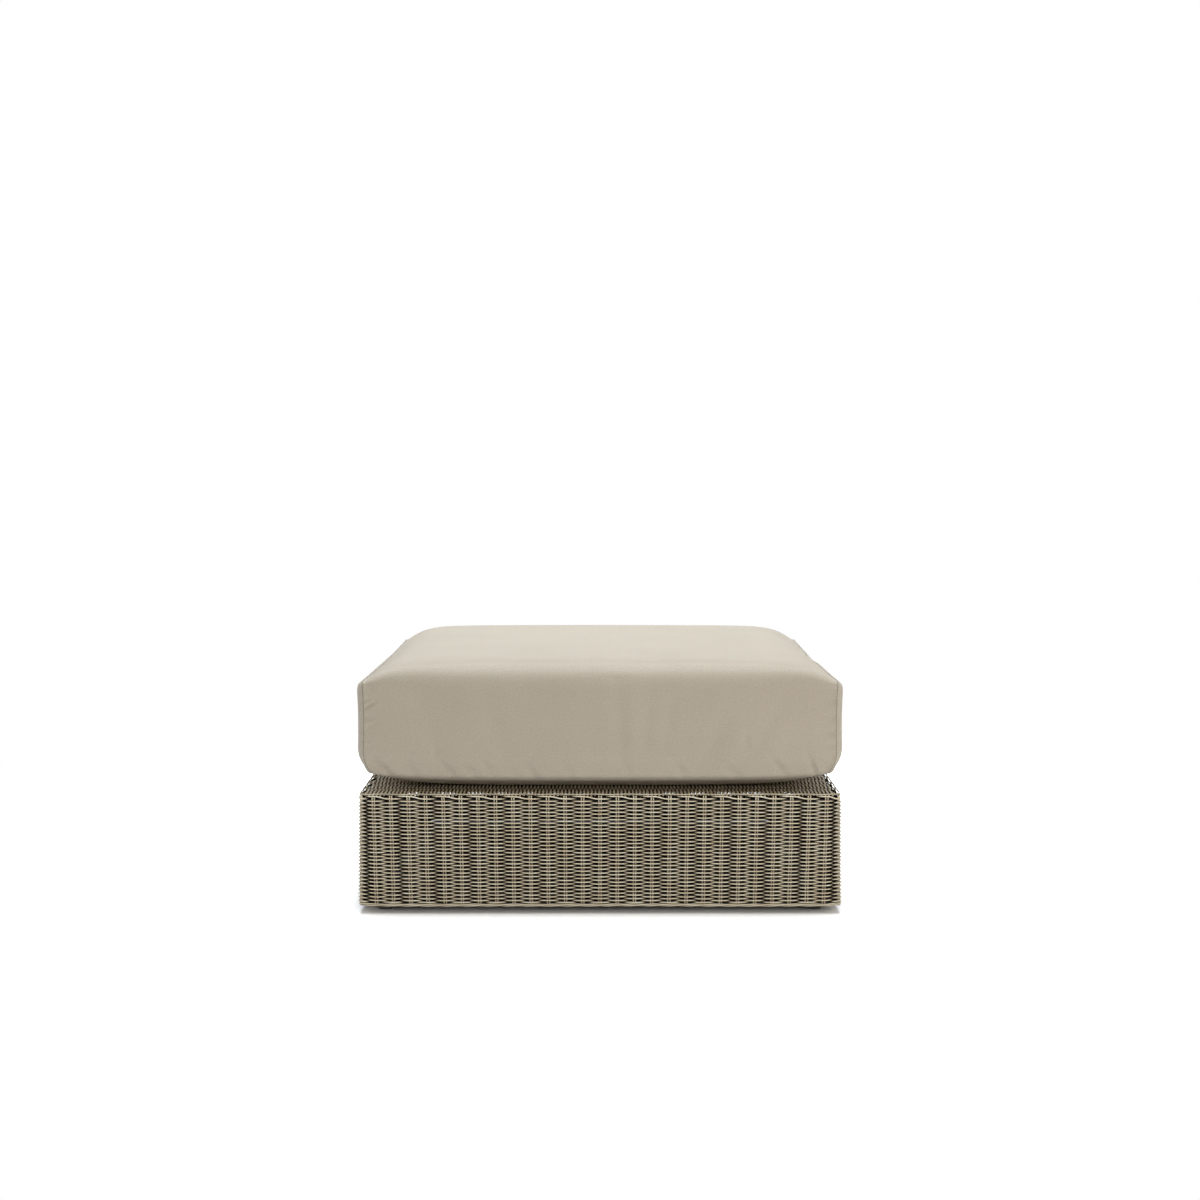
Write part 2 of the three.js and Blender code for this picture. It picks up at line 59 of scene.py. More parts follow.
CORNERS = ["front_left", "front_right", "back_right", "back_left"]


def placed(name, data):
    """A new object in the scene."""
    holder = bpy.data.objects.new(name, data)
    bpy.context.scene.collection.objects.link(holder)
    return holder


# %% [markdown]
# A node tree is easier to read when a sum looks like a sum. This small class wraps a socket, so that
# `depth - wave * swing` becomes two Math nodes with their links. It serves shader trees and geometry trees
# alike, because both have the same Math node, and a loop gives it one method for each operation.


# %% Sockets that add and multiply
class Value:
    """An output socket of a node tree."""

    def __init__(self, tree, socket):
        self.tree = tree
        self.socket = socket

    def other(self, name):
        """Another output of the same node."""
        return Value(self.tree, named(self.socket.node.outputs, name))

    def math(self, operation, *others):
        return add(self.tree, "ShaderNodeMath", (self, *others), operation=operation)

    def __rsub__(self, other):
        return self * -1.0 + other

    def ramp(self, low, high):
        """0 at low, 1 at high, and straight between them."""
        inputs = {"Value": self, "From Min": low, "From Max": high}
        return add(self.tree, "ShaderNodeMapRange", inputs)


def math_method(operation):
    """A method that puts one Math node after a value."""
    return lambda value, *others: value.math(operation, *others)


operations = {"__add__": "ADD", "__sub__": "SUBTRACT", "__mul__": "MULTIPLY", "__truediv__": "DIVIDE"}
operations |= {"__abs__": "ABSOLUTE", "at_least": "MAXIMUM", "at_most": "MINIMUM", "power": "POWER"}
operations |= {"sin": "SINE", "cos": "COSINE", "tanh": "TANH"}
operations |= {"floor": "FLOOR", "fract": "FRACT", "sign": "SIGN"}
for method, operation in operations.items():
    setattr(Value, method, math_method(operation))


def named(sockets, name):
    """The socket of that name which the node's settings leave in use."""
    return next(s for s in sockets if s.name == name and s.enabled)


def feed(tree, socket, value):
    """Link a value to an input, or set the input's own number."""
    if isinstance(value, Value):
        tree.links.new(value.socket, socket)
    else:
        socket.default_value = value


def add(tree, kind, inputs=(), out=0, **settings):
    """Put a node in a tree, feed its inputs by name or in order, and give back one of its outputs."""
    node = tree.nodes.new(kind)
    for setting, value in settings.items():
        setattr(node, setting, value)
    if isinstance(inputs, dict):
        pairs = [(named(node.inputs, name), value) for name, value in inputs.items()]
    else:
        pairs = zip(node.inputs, inputs)
    for socket, value in pairs:
        feed(tree, socket, value)
    return Value(tree, node.outputs[out] if isinstance(out, int) else named(node.outputs, out))


def vector(x, y, z=0.0):
    return add(x.tree, "ShaderNodeCombineXYZ", (x, y, z))


print("node helpers ready")

# %% [markdown]
# The camera stands 3.6 m in front of the base, and 0.38 m higher than the cushion. The photograph's upright
# edges stay parallel, so the camera is level, and the object sits low in the picture because the lens is
# shifted, as on a view camera. The widths of the cushion's front and back edges give the distance.

# %% Camera
camera_distance = 3.6  # from the front of the base
camera_height = 0.841
camera_lens = 58.91  # mm, on a sensor 36 mm wide
camera_shift = -0.1208  # of the picture's width
base_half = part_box("skirt_right")[1].x

camera_data = bpy.data.cameras.new("camera")
camera_data.lens = camera_lens
camera_data.sensor_width = 36
camera_data.shift_y = camera_shift
camera = placed("camera", camera_data)
camera.location = (0, -(base_half + camera_distance), camera_height)
camera.rotation_euler = (math.pi / 2, 0, 0)
bpy.context.scene.camera = camera
print("half of the base:", round(base_half, 4))

# %% [markdown]
# The floor is plain and pale. It is a real diffuse surface for the light, but the camera sees it brighter, so
# that it comes out white. That extra light fades near the base, and the floor is darkened under the base and
# just behind it, so that the shadow is as deep as in the photograph. Far from the base the floor fades to the
# same white as the world, which is white to the camera and plain grey light to everything else.


# %% Floor and background
def new_material(name):
    """A material with an empty tree."""
    material = bpy.data.materials.new(name)
    material.use_nodes = True
    material.node_tree.nodes.clear()
    return material, material.node_tree


def shown(material, shader):
    """The material, with a shader sent to its output."""
    tree = material.node_tree
    feed(tree, tree.nodes.new("ShaderNodeOutputMaterial").inputs["Surface"], shader)
    return material


def object_place(tree):
    return add(tree, "ShaderNodeTexCoord", out="Object")


def is_seen(tree):
    """1 for rays from the camera, from a mirror or through glass, and 0 for the rest."""
    ray = add(tree, "ShaderNodeLightPath", out="Is Camera Ray")
    return ray.at_least(ray.other("Is Glossy Ray")).at_least(ray.other("Is Transmission Ray"))


floor_colour = (0.86, 0.86, 0.86, 1)
floor_half = 9
seen_gain = 1.6  # of the light that only the camera sees
least_gain = 0.26  # the share of it that is left under the base
gain_band = (base_half - 0.04, base_half + 0.06)  # from the middle, where it comes back
footprint_power = 12.0  # of the rounded square that measures the way from the middle
shadow_reach = 1.19  # the shadow reaches further behind the base than in front of it
darker_under, under_band = 0.8, (base_half - 0.12, base_half - 0.06)
darker_behind, behind_start, behind_end, behind_sides = 0.85, (0.40, 0.44), (0.48, 0.62), (0.36, 0.44)
white_band = (0.8, 1.6)

floor_material, tree = new_material("studio_floor")
plain = add(tree, "ShaderNodeBsdfDiffuse", {"Color": floor_colour})
extra = add(tree, "ShaderNodeBsdfDiffuse", {"Color": (seen_gain,) * 3 + (1,)})
black = add(tree, "ShaderNodeBsdfDiffuse", {"Color": (0, 0, 0, 1)})
white = add(tree, "ShaderNodeEmission", {"Color": (1, 1, 1, 1), "Strength": 1.0})
floor_x = add(tree, "ShaderNodeSeparateXYZ", {"Vector": object_place(tree)})
floor_y = floor_x.other("Y")
far_x = abs(floor_x).power(footprint_power)
far_y = (floor_y * -1.0).at_least(floor_y / shadow_reach).power(footprint_power)
from_middle = (far_x + far_y).power(1 / footprint_power)
gain = from_middle.ramp(*gain_band).power(2.0) * (1 - least_gain) + least_gain
shade_along = floor_y.ramp(*behind_start) * (1.0 - floor_y.ramp(*behind_end))
shade_behind = shade_along * (1.0 - abs(floor_x).ramp(*behind_sides)) * darker_behind
shade_under = (1.0 - from_middle.ramp(*under_band)) * darker_under
seen = is_seen(tree)
seen_extra = add(tree, "ShaderNodeMixShader", (seen * gain, black, extra))
lit = add(tree, "ShaderNodeAddShader", (plain, seen_extra))
near = add(tree, "ShaderNodeMixShader", (seen * shade_behind.at_least(shade_under), lit, black))
far_away = seen * from_middle.ramp(*white_band)
shown(floor_material, add(tree, "ShaderNodeMixShader", (far_away, near, white)))

floor_mesh = bpy.data.meshes.new("floor")
floor_corners = [(-1, -1), (1, -1), (1, 1), (-1, 1)]
floor_mesh.from_pydata([(x * floor_half, y * floor_half, 0) for x, y in floor_corners], [], [(0, 1, 2, 3)])
floor_mesh.materials.append(floor_material)
floor = placed("floor", floor_mesh)

ambient = 0.26
world = bpy.data.worlds.new("studio")
world.use_nodes = True
tree = world.node_tree
tree.nodes.clear()
strength = add(tree, "ShaderNodeMix", {"Factor": is_seen(tree), "A": ambient, "B": 1.0})
background = add(tree, "ShaderNodeBackground", {"Color": (1, 1, 1, 1), "Strength": strength})
feed(tree, tree.nodes.new("ShaderNodeOutputWorld").inputs["Surface"], background)
bpy.context.scene.world = world
bpy.context.scene.view_settings.view_transform = "Standard"
print("floor and world ready")

# %% [markdown]
# A large soft lamp hangs above and a little behind, which makes the top of the cushion lighter than its
# front, as in the photograph. The front is lit by a warm lamp right of the camera, so its left end is darker
# and its folds show. Two tall side lamps fill the rest, the right one more than the left.

# %% Lamps
look_at = Vector((0, 0, 0.25))
cool, warm = (0.86, 0.93, 1.0), (1.0, 0.945, 0.85)
for name, place, size, watts, colour in (
    ("lamp_over", (0, 0.5, 3.0), (3.2, 2.4), 108, cool),
    ("lamp_left", (-3.0, -0.6, 1.5), (1.6, 2.0), 10, warm),
    ("lamp_right", (3.0, -1.8, 1.5), (1.6, 2.0), 22, warm),
    ("lamp_front", (0.9, -4.5, 1.5), (2.2, 1.2), 46, warm),
):
    lamp = bpy.data.lights.new(name, "AREA")
    lamp.shape = "RECTANGLE"
    lamp.color = colour
    lamp.size, lamp.size_y = size
    lamp.energy = watts
    holder = placed(name, lamp)
    holder.location = place
    holder.rotation_euler = (look_at - Vector(place)).to_track_quat("-Z", "Y").to_euler()
print("lamps ready")

# %% [markdown]
# The strands are round resin rods, coloured like weathered willow: each rod has its own tone, with long
# streaks along it and fine grooves. The trees below store four attributes on every rod: tone, one random
# number a rod; along, the distance along it; round, the direction round it; and over, which is 1 where the
# rod passes in front of a stake and -1 where it dives behind. The material reads these, so that its streaks
# follow each rod round the corners. Over also sets painted light: where a rod stands proud its colour is
# painted lighter, a painted highlight, and where it dives behind it is painted darker, down to near black in
# the gaps, which is painted shade. The underside of every rod is painted near black too, and faces that look
# straight up a little darker, both painted shade. The dark parts have no gloss, or the gaps would mirror the
# white room.


# %% Strand finish
def attribute(tree, name, out="Fac"):
    return add(tree, "ShaderNodeAttribute", out=out, attribute_name=name)


def mixed(share, low, high):
    """One colour blended to another by a share."""
    inputs = {"Factor": share, "A": low, "B": high}
    return add(share.tree, "ShaderNodeMix", inputs, out="Result", data_type="RGBA")


def blotches(place, scale, detail=2.0):
    """Smooth noise from about 0 to 1."""
    return add(place.tree, "ShaderNodeTexNoise", {"Vector": place, "Scale": scale, "Detail": detail})


def facing_up(tree):
    """1 on faces that look up, and -1 on those that look down."""
    facing = add(tree, "ShaderNodeNewGeometry", out="Normal")
    return add(tree, "ShaderNodeSeparateXYZ", {"Vector": facing}, out="Z")


def surfaced(material, colour, roughness, bump, others=()):
    """The last steps of every finish: a bump of a strength, a depth and a height, and the shader."""
    tree = material.node_tree
    strength, depth, height = bump
    inputs = {"Strength": strength, "Distance": depth, "Height": height}
    normal = add(tree, "ShaderNodeBump", inputs, out="Normal")
    inputs = {"Base Color": colour, "Roughness": roughness, "Normal": normal, **dict(others)}
    return shown(material, add(tree, "ShaderNodeBsdfPrincipled", inputs))


# Each pair runs from a dark to a light tone. The first pair is painted lighter, a painted highlight for rods
# in front of the stakes. The second is painted darker, painted shade for rods between them. The last colour is
# the near-black painted shade of the gaps and the undersides.
PROUD_TONE_PAINTED_LIT = (0.780, 0.630, 0.430), (1.000, 0.930, 0.730)
SUNK_TONE_PAINTED_SHADE = (0.160, 0.125, 0.087), (0.480, 0.395, 0.280)
PAINTED_SHADE_COLOUR = (0.004, 0.003, 0.002)


def strand_finish(name, shade):
    material, tree = new_material(name)
    tone, along, over = (attribute(tree, label) for label in ("tone", "along", "over"))
    turned = add(tree, "ShaderNodeSeparateXYZ", {"Vector": attribute(tree, "round", "Vector")})
    rise = turned.other("Y")
    streak_place = vector(along * 46.0 + tone * 91.0, turned * 1.6 + tone * 37.0, rise * 1.6)
    streaks = blotches(streak_place, 1.0, 3.0).ramp(0.3, 0.7)
    fine_place = vector(along * 260.0, turned * 7.0, rise * 7.0 + tone * 53.0)
    fine = blotches(fine_place, 1.0)
    patches = blotches(object_place(tree), 42.0).ramp(0.35, 0.65)
    share = (tone * 0.35 + streaks * 0.85 + patches * 0.45 - 0.3).at_least(0.0).at_most(1.0)

    def shaded(colour):
        return [c * shade for c in colour] + [1]

    proud_tone_painted_lit, sunk_tone_painted_shade = (mixed(share, shaded(low), shaded(high)) for low, high in (PROUD_TONE_PAINTED_LIT, SUNK_TONE_PAINTED_SHADE))
    painted_shade = shaded(PAINTED_SHADE_COLOUR)
    up = facing_up(tree)
    # Painted highlight where a rod stands proud, painted shade where it dives behind the stakes.
    colour = mixed(over.ramp(-0.15, 0.5), sunk_tone_painted_shade, proud_tone_painted_lit)
    colour = mixed(over.ramp(-0.5, 0.0), painted_shade, colour)
    # Painted shade: near black on faces that look down, and a little darker on faces that look straight up.
    colour = mixed(up.ramp(-0.85, 0.0) * 0.9 + 0.1, painted_shade, colour)
    colour = mixed(up.ramp(0.8, 1.0) * 0.2, colour, painted_shade)
    gloss = over.ramp(-0.4, 0.5) * up.ramp(-0.7, 0.0) * 0.6
    roughness = fine.ramp(0.2, 0.9) * 0.2 + 0.24
    return surfaced(material, colour, roughness, (0.35, 0.0004, fine), {"Specular IOR Level": gloss})


strand_material = strand_finish("strand_resin", 1.0)
dark_strand_material = strand_finish("strand_resin_dark", 0.82)
print("strand finishes ready")

# %% [markdown]
# Every woven part of the skirts follows one path: straight along a side and round each corner on an arc. A
# skirt is one quarter of that path, from diagonal to diagonal, so the trees share their steps: lay rods along
# the path, bend them round the corner at their own depth, and give them a round section. Node groups could
# hold these steps too, but Python functions keep the sums next to the names of their sizes.


# %% Path of the skirts
input_kinds = dict.fromkeys(("Rows", "Rim", "Count", "Turns", "Seed"), "NodeSocketInt")
input_kinds |= {"Path": "NodeSocketGeometry", "Material": "NodeSocketMaterial"}


def geometry_tree(name, inputs):
    """A geometry tree with named inputs besides a path and a material, and all of them as values."""
    tree = bpy.data.node_groups.new(name, "GeometryNodeTree")
    tree.interface.new_socket("Geometry", in_out="OUTPUT", socket_type="NodeSocketGeometry")
    labels = ["Path", *inputs.split(), "Material"]
    for label in labels:
        kind = input_kinds.get(label, "NodeSocketFloat")
        tree.interface.new_socket(label, in_out="INPUT", socket_type=kind)
    start = tree.nodes.new("NodeGroupInput")
    values = {label.lower(): Value(tree, named(start.outputs, label)) for label in labels}
    return tree, SimpleNamespace(**values)


def finished(geometry, material):
    """Every tree ends the same way, with real geometry and its material."""
    tree = geometry.tree
    real = add(tree, "GeometryNodeRealizeInstances", {"Geometry": geometry})
    painted = add(tree, "GeometryNodeSetMaterial", {"Geometry": real, "Material": material})
    feed(tree, tree.nodes.new("NodeGroupOutput").inputs["Geometry"], painted)
    return tree


def grow(name, tree, path=None, **values):
    """Run a tree, on a path if it needs one, and keep what it makes as an object with a plain mesh."""
    holder = placed(name, path or bpy.data.meshes.new(name))
    modifier = holder.modifiers.new("tree", "NODES")
    modifier.node_group = tree
    for item in tree.interface.items_tree:
        if item.in_out == "INPUT" and item.name in values:
            modifier[item.identifier] = values[item.name]
    graph = bpy.context.evaluated_depsgraph_get()
    mesh = bpy.data.meshes.new_from_object(holder.evaluated_get(graph))
    holder.modifiers.remove(modifier)
    holder.data = mesh
    mesh.name = name
    print(name, len(mesh.polygons), "faces")
    return holder


# Base, as the frame has it
cad_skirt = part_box("skirt_front")
cad_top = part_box("top_border_front")
cad_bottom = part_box("bottom_border_front")
cad_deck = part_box("woven_deck")
deck_top = cad_deck[1].z
corner_radius = 8.5 * MM
stake_set_in = 28 * MM  # from a corner of the base to the middle of the first stake pair
stake_spaces = 26
strand_radius = 1.34 * MM
stake_radius = 1.1 * MM
skin_middle = 4.55 * MM  # from the outside of the weave to the stakes
swing = 3 * MM  # of a rod to the front and the back of the stakes
lean = 0.0156  # the stakes lean in towards the floor by this share of their place
stake_run = base_half - stake_set_in
stake_step = 2 * stake_run / stake_spaces
half_spaces = stake_spaces // 2
straight_run = base_half - corner_radius
quarter_arc = math.pi / 4
path_half = straight_run + (corner_radius - skin_middle) * quarter_arc
path_whole = 2 * path_half
rod_sides = 6


def crossing_from_middle(distance, up):
    """How many stake pairs lie between the middle of a side and a point at a share of the height."""
    squeeze = up * lean + (1 - lean)
    on_side = (distance / (squeeze * stake_step)).at_most(half_spaces)
    last = squeeze * stake_run
    beyond = ((distance - last) / (path_half - last)).at_least(0.0)
    return on_side + beyond


def on_path(place, depth, height):
    """The point of the front side at a signed distance from its middle, a depth and a height."""
    distance = abs(place)
    turn = ((distance - straight_run) / (path_half - straight_run)).at_least(0.0) * quarter_arc
    reach = corner_radius - depth
    x = place.sign() * (distance.at_most(straight_run) + turn.sin() * reach)
    y = (turn.cos() * reach + straight_run) * -1.0
    return vector(x, y, height)


def turned_by(point, quarter):
    """The same point on another side."""
    inputs = {"Vector": point, "Angle": quarter * (math.pi / 2)}
    return add(point.tree, "ShaderNodeVectorRotate", inputs, rotation_type="Z_AXIS")


def store(geometry, name, value, data_type="FLOAT"):
    inputs = {"Geometry": geometry, "Name": name, "Value": value}
    kind = "GeometryNodeStoreNamedAttribute"
    return add(geometry.tree, kind, inputs, data_type=data_type, domain="POINT")


def laid_rods(tree, count, segments):
    """Straight curves to be bent: how far along each point is, from -1 to 1, and which rod it is on."""
    line = add(tree, "GeometryNodeCurvePrimitiveLine")
    cut = add(tree, "GeometryNodeResampleCurve", {"Curve": line, "Count": segments + 1})
    many = add(tree, "GeometryNodeDuplicateElements", {"Geometry": cut, "Amount": count}, domain="SPLINE")
    rods = store(many, "rod", many.other("Duplicate Index"))
    share = add(tree, "GeometryNodeSplineParameter", out="Factor")
    rod = add(tree, "GeometryNodeInputNamedAttribute", {"Name": "rod"}, data_type="FLOAT", out="Attribute")
    return rods, share * 2.0 - 1.0, rod


def noise_at(place, scale, seed):
    """Smooth noise from about -1 to 1, and another one for each seed."""
    inputs = {"Vector": place, "W": seed, "Scale": scale, "Detail": 1.0}
    return add(place.tree, "ShaderNodeTexNoise", inputs, noise_dimensions="4D") * 2.0 - 1.0


def chance(identity, seed):
    """One random number from 0 to 1 for each identity."""
    inputs = {"Min": 0.0, "Max": 1.0, "ID": identity, "Seed": seed}
    return add(identity.tree, "FunctionNodeRandomValue", inputs, data_type="FLOAT", out="Value")


def rounded(rods, radius, sides):
    """Rods get a round section, and know the direction round it."""
    tree = rods.tree
    ring = add(tree, "GeometryNodeCurvePrimitiveCircle", {"Resolution": sides, "Radius": radius})
    place = add(tree, "GeometryNodeInputPosition")
    unit = add(tree, "ShaderNodeVectorMath", (place,), operation="NORMALIZE")
    section = store(ring, "round", unit, "FLOAT_VECTOR")
    inputs = {"Curve": rods, "Profile Curve": section, "Fill Caps": True}
    return add(tree, "GeometryNodeCurveToMesh", inputs)


def bent_to(point, rods, given, sides=rod_sides, **stored):
    """The last steps of every tree of rods: bend them, store what their finish reads, round them."""
    # The finish turns over into painted light: a high over is a painted highlight, a low over painted shade.
    bent = add(rods.tree, "GeometryNodeSetPosition", {"Geometry": rods, "Position": point})
    for name, value in stored.items():
        bent = store(bent, name, value)
    return finished(rounded(bent, given.radius, sides), given.material)


def grow_sides(tree, pieces, replaced=None):
    """Grow each piece once on every side of the base."""
    for quarter, side in enumerate(SIDES):
        for name, values in pieces.items():
            piece = grow(f"{name}_{side}", tree, Quarter=float(quarter), **values)
            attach(piece, "base")
            if replaced:
                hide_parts(f"{replaced}_{side}")


print("stake step", round(stake_step / MM, 2), "mm")

# %% [markdown]
# The skirt is a plain weave: each rod goes over one pair of stakes and under the next, and the rod above it
# does the opposite. It could be a picture on a flat wall, but then the black gaps beside the stakes and the
# serrated corners would be missing. Here a wave gives each rod its depth, and low noise lets it wander by
# half a millimetre, as hand work does. Each skirt is one mesh.


# %% Skirt rods
row_pitch = 3.38 * MM
border_room = 10.8 * MM  # from the deck's top to the first rod
rod_segments_per_space = 8
skirt_segments = rod_segments_per_space * (stake_spaces + 2)
wave_sharpness = 1.0  # higher keeps a rod longer in front of its stakes
corner_rise_low = 3 * MM  # rods climb towards the corners, most at the bottom
corner_rise_high = 1 * MM
rise_from = 405 * MM
wander_height = 0.75 * MM
wander_depth = 0.35 * MM
wander_scale, slow_scale, push_scale = 22.0, 5.0, 35.0  # of the noises, in turns to the metre
corner_out = 1 * MM  # rods bow out this much where they turn the corner


def corner_share(distance):
    """0 along a side, and up to 1 at its corners."""
    return ((distance - rise_from) / (path_half - rise_from)).at_least(0.0).power(2.0)


def corner_rise(distance, up):
    return corner_share(distance) * (up * (corner_rise_high - corner_rise_low) + corner_rise_low)


def woven_wave(crossing, row):
    """1 where a rod is in front of a stake pair, -1 behind the next, and the opposite in the next row."""
    wave = ((crossing + row) * math.pi).cos() * wave_sharpness
    return wave.tanh() / math.tanh(wave_sharpness)


def skirt_tree():
    tree, given = geometry_tree("skirt_weave", "Quarter Rows Bottom Pitch Radius Seed")
    quarter, seed = given.quarter, given.seed
    rods, share, row = laid_rods(tree, given.rows, skirt_segments)
    place = share * path_half
    distance = abs(place)
    up = (row + 0.5) / given.rows
    wave = woven_wave(crossing_from_middle(distance, up), row)
    height = given.bottom + given.pitch * (row + 0.5) + corner_rise(distance, up)
    middle = turned_by(on_path(place, skin_middle, height), quarter)
    lift = noise_at(middle, wander_scale, row * 1.3 + seed) * wander_height
    slow_lift = noise_at(middle, slow_scale, seed) * wander_height
    push = noise_at(middle, push_scale, row * 2.1 + seed) * wander_depth
    depth = wave * (-swing) + skin_middle + push - corner_share(distance) * corner_out
    point = turned_by(on_path(place, depth, height + lift + slow_lift), quarter)
    tone = chance(row, seed)
    along = place + quarter * path_whole + row * 3.17
    return bent_to(point, rods, given, over=wave, tone=tone, along=along)


skirt_bottom = cad_skirt[0].z
skirt_height = deck_top - border_room - skirt_bottom
skirt_rows = round(skirt_height / row_pitch)
skirt = {"Rows": skirt_rows, "Bottom": skirt_bottom, "Pitch": skirt_height / skirt_rows}
skirt |= {"Radius": strand_radius, "Seed": 7, "Material": strand_material}
grow_sides(skirt_tree(), {"skirt_weave": skirt}, replaced="skirt")
print("rods in a skirt:", skirt_rows)

# %% [markdown]
# The stakes are pairs of thinner rods that stand on the bottom rails. They show in the gaps of the weave, so
# they are rods too. They lean in a little towards the floor, which the photograph shows at both ends of the
# front, and the corner pairs stand on the diagonals.


# %% Stake pairs
stake_spread = 2.1 * MM  # from the middle of a pair to each of its rods
stake_segments = 12
stake_bend = 0.6 * MM
bend_scale = 30.0
# In this band the tops of the stakes are painted lighter, a painted highlight.
painted_lit_band = (deck_top - border_room - 1 * MM, deck_top - border_room)  # where the tops of the stakes show


def pair_and_side(index):
    """The pair that a rod belongs to, and how far it stands from the middle of the pair."""
    pair = (index * 0.5).floor()
    return pair, ((index - pair * 2.0) * 2.0 - 1.0) * stake_spread


def stake_tree():
    tree, given = geometry_tree("stake_pairs", "Quarter Bottom Top Radius Seed")
    pairs = stake_spaces + 2
    rods, share, index = laid_rods(tree, 2 * pairs, stake_segments)
    up = share * 0.5 + 0.5
    pair, beside = pair_and_side(index)
    squeeze = up * lean + (1 - lean)
    place = ((pair - pairs / 2) * stake_step * squeeze).at_least(-path_half) + beside
    height = given.bottom + (given.top - given.bottom) * up
    straight = on_path(place, skin_middle, height)
    bend = noise_at(straight, bend_scale, index + given.seed) * stake_bend
    point = turned_by(on_path(place + bend, skin_middle, height), given.quarter)
    # The stakes are painted in a middle tone between the finish's painted highlight and painted shade, lighter
    # at their tops.
    over = height.ramp(*painted_lit_band) * 0.5 + 0.05
    tone = chance(index, given.seed) * 0.5 + 0.35
    return bent_to(point, rods, given, over=over, tone=tone, along=height + index * 2.3)


stakes = {"Bottom": cad_bottom[0].z + 2 * MM, "Top": cad_top[1].z - 2.5 * MM}
stakes |= {"Radius": stake_radius, "Seed": 11, "Material": strand_material}
grow_sides(stake_tree(), {"stake_pairs": stakes})

# %% [markdown]
# A weave this tall is locked at the top by a wale of two rods. Each passes in front of two stake pairs, high
# at the first and low at the second, and then behind the next two, where the other rod takes its place. Above
# it two thin rods are twisted together along the rim. The same path carries them all, and their waves count
# the stake pairs all the way round, so that the rods run on at the corners.


# %% Top border
border_rods = 2
border_cycle = 4  # stake pairs to one wave of the wale, and to one turn of the rim
wale_drop = 5.85 * MM  # from the deck's top to the middle of the wale
wale_climb = 2.35 * MM
wale_front = 4.3 * MM  # depth of the middle of the wale
wale_swing = 2.6 * MM
wale_radius = 1.45 * MM
rim_lift = 0.3 * MM  # from the deck's top up to the middle of the rim
rim_twist = 0.6 * MM
rim_front = 3.4 * MM
rim_radius = 0.95 * MM
border_wander, border_scale = 0.6 * MM, 16.0
places_per_side = stake_spaces + 2
border_segments = rod_segments_per_space * places_per_side


def places_counted(place, quarter, up):
    """Stake pairs passed since the back left corner, going round by the front."""
    crossing = crossing_from_middle(abs(place), up)
    turned = (quarter + 1.0).math("MODULO", 4.0)
    return place.sign() * crossing + turned * places_per_side + places_per_side / 2


def top_border_tree():
    tree, given = geometry_tree("top_border", "Quarter Rim Radius Seed")
    quarter, seed, is_rim = given.quarter, given.seed, given.rim
    rods, share, index = laid_rods(tree, border_rods, border_segments)
    place = share * path_half
    counted = places_counted(place, quarter, 1.0)
    cycle = (counted - 1.0 - index * (border_cycle / border_rods)) / border_cycle
    cycle = cycle.fract() * (2 * math.pi)
    wale_over = ((cycle - math.pi / 4).cos() * 2.0).tanh()
    wale_z = ((cycle + math.pi / 4).cos() * 2.5).tanh() * wale_climb + (deck_top - wale_drop)
    wale_depth = wale_over * (-wale_swing) + wale_front
    rim_over = cycle.cos()
    rim_z = cycle.sin() * rim_twist + (deck_top + rim_lift)
    rim_depth = rim_over * (-rim_twist) + rim_front

    def chosen(wale, rim):
        return wale + (rim - wale) * is_rim

    height = chosen(wale_z, rim_z)
    middle = turned_by(on_path(place, skin_middle, height), quarter)
    lift = noise_at(middle, border_scale, index * 3.0 + seed) * border_wander
    point = on_path(place, chosen(wale_depth, rim_depth), height + lift)
    # The rim's over is squeezed into a middle band, so it is painted neither as light nor as dark as the wale.
    over = chosen(wale_over, rim_over * 0.35 + 0.05)
    tone = chance(index, seed)
    along = place + quarter * path_whole + index * 1.9
    return bent_to(turned_by(point, quarter), rods, given, over=over, tone=tone, along=along)


wale = {"Rim": 0, "Radius": wale_radius, "Seed": 5, "Material": strand_material}
rim = {"Rim": 1, "Radius": rim_radius, "Seed": 6, "Material": strand_material}
grow_sides(top_border_tree(), {"wale": wale, "rim": rim}, replaced="top_border")

# %% [markdown]
# The bottom border is a rope of three rods twisted together, which hides the ends of the stakes. Each rod is
# a spiral round the same path, a third of a turn from the next.

# %% Bottom border
rope_rods = 3
rope_turn = 3.5  # stake pairs to one turn of the rope
rope_radius = 1.65 * MM  # from the middle of the rope to the middle of a rod
rope_rod_radius = 1.5 * MM
rope_depth = 3.7 * MM
rope_wander, rope_scale = 1.2 * MM, 6.0
rope_height = (cad_bottom[0].z + cad_bottom[1].z) / 2


def bottom_border_tree():
    tree, given = geometry_tree("bottom_border", "Quarter Radius Seed")
    quarter, seed = given.quarter, given.seed
    rods, share, index = laid_rods(tree, rope_rods, border_segments)
    place = share * path_half
    counted = places_counted(place, quarter, 0.0)
    angle = (counted / rope_turn + index / rope_rods) * (2 * math.pi)
    middle = turned_by(on_path(place, skin_middle, 0.0), quarter)
    lift = noise_at(middle, rope_scale, seed) * rope_wander
    height = angle.sin() * rope_radius + rope_height + corner_rise(abs(place), 0.0) + lift
    over = angle.cos()
    point = turned_by(on_path(place, over * (-rope_radius) + rope_depth, height), quarter)
    tone = chance(index, seed) * 0.6 + 0.3
    along = place + quarter * path_whole + index * 1.9
    # The rope's over is raised, so it is painted lighter than a rod of the skirt.
    return bent_to(point, rods, given, over=over * 0.5 + 0.4, tone=tone, along=along)


rope = {"Radius": rope_rod_radius, "Seed": 3, "Material": dark_strand_material}
grow_sides(bottom_border_tree(), {"bottom_rope": rope}, replaced="bottom_border")

# %% [markdown]
# The deck carries the cushion. Its rods run from front to back, over and under pairs of cross stakes. Towards
# the rim their wave calms down, and their ends bend down behind it. Only a narrow strip of the deck shows in
# front of the cushion, but all of it shows when the cushion is lifted, so all of it is woven.

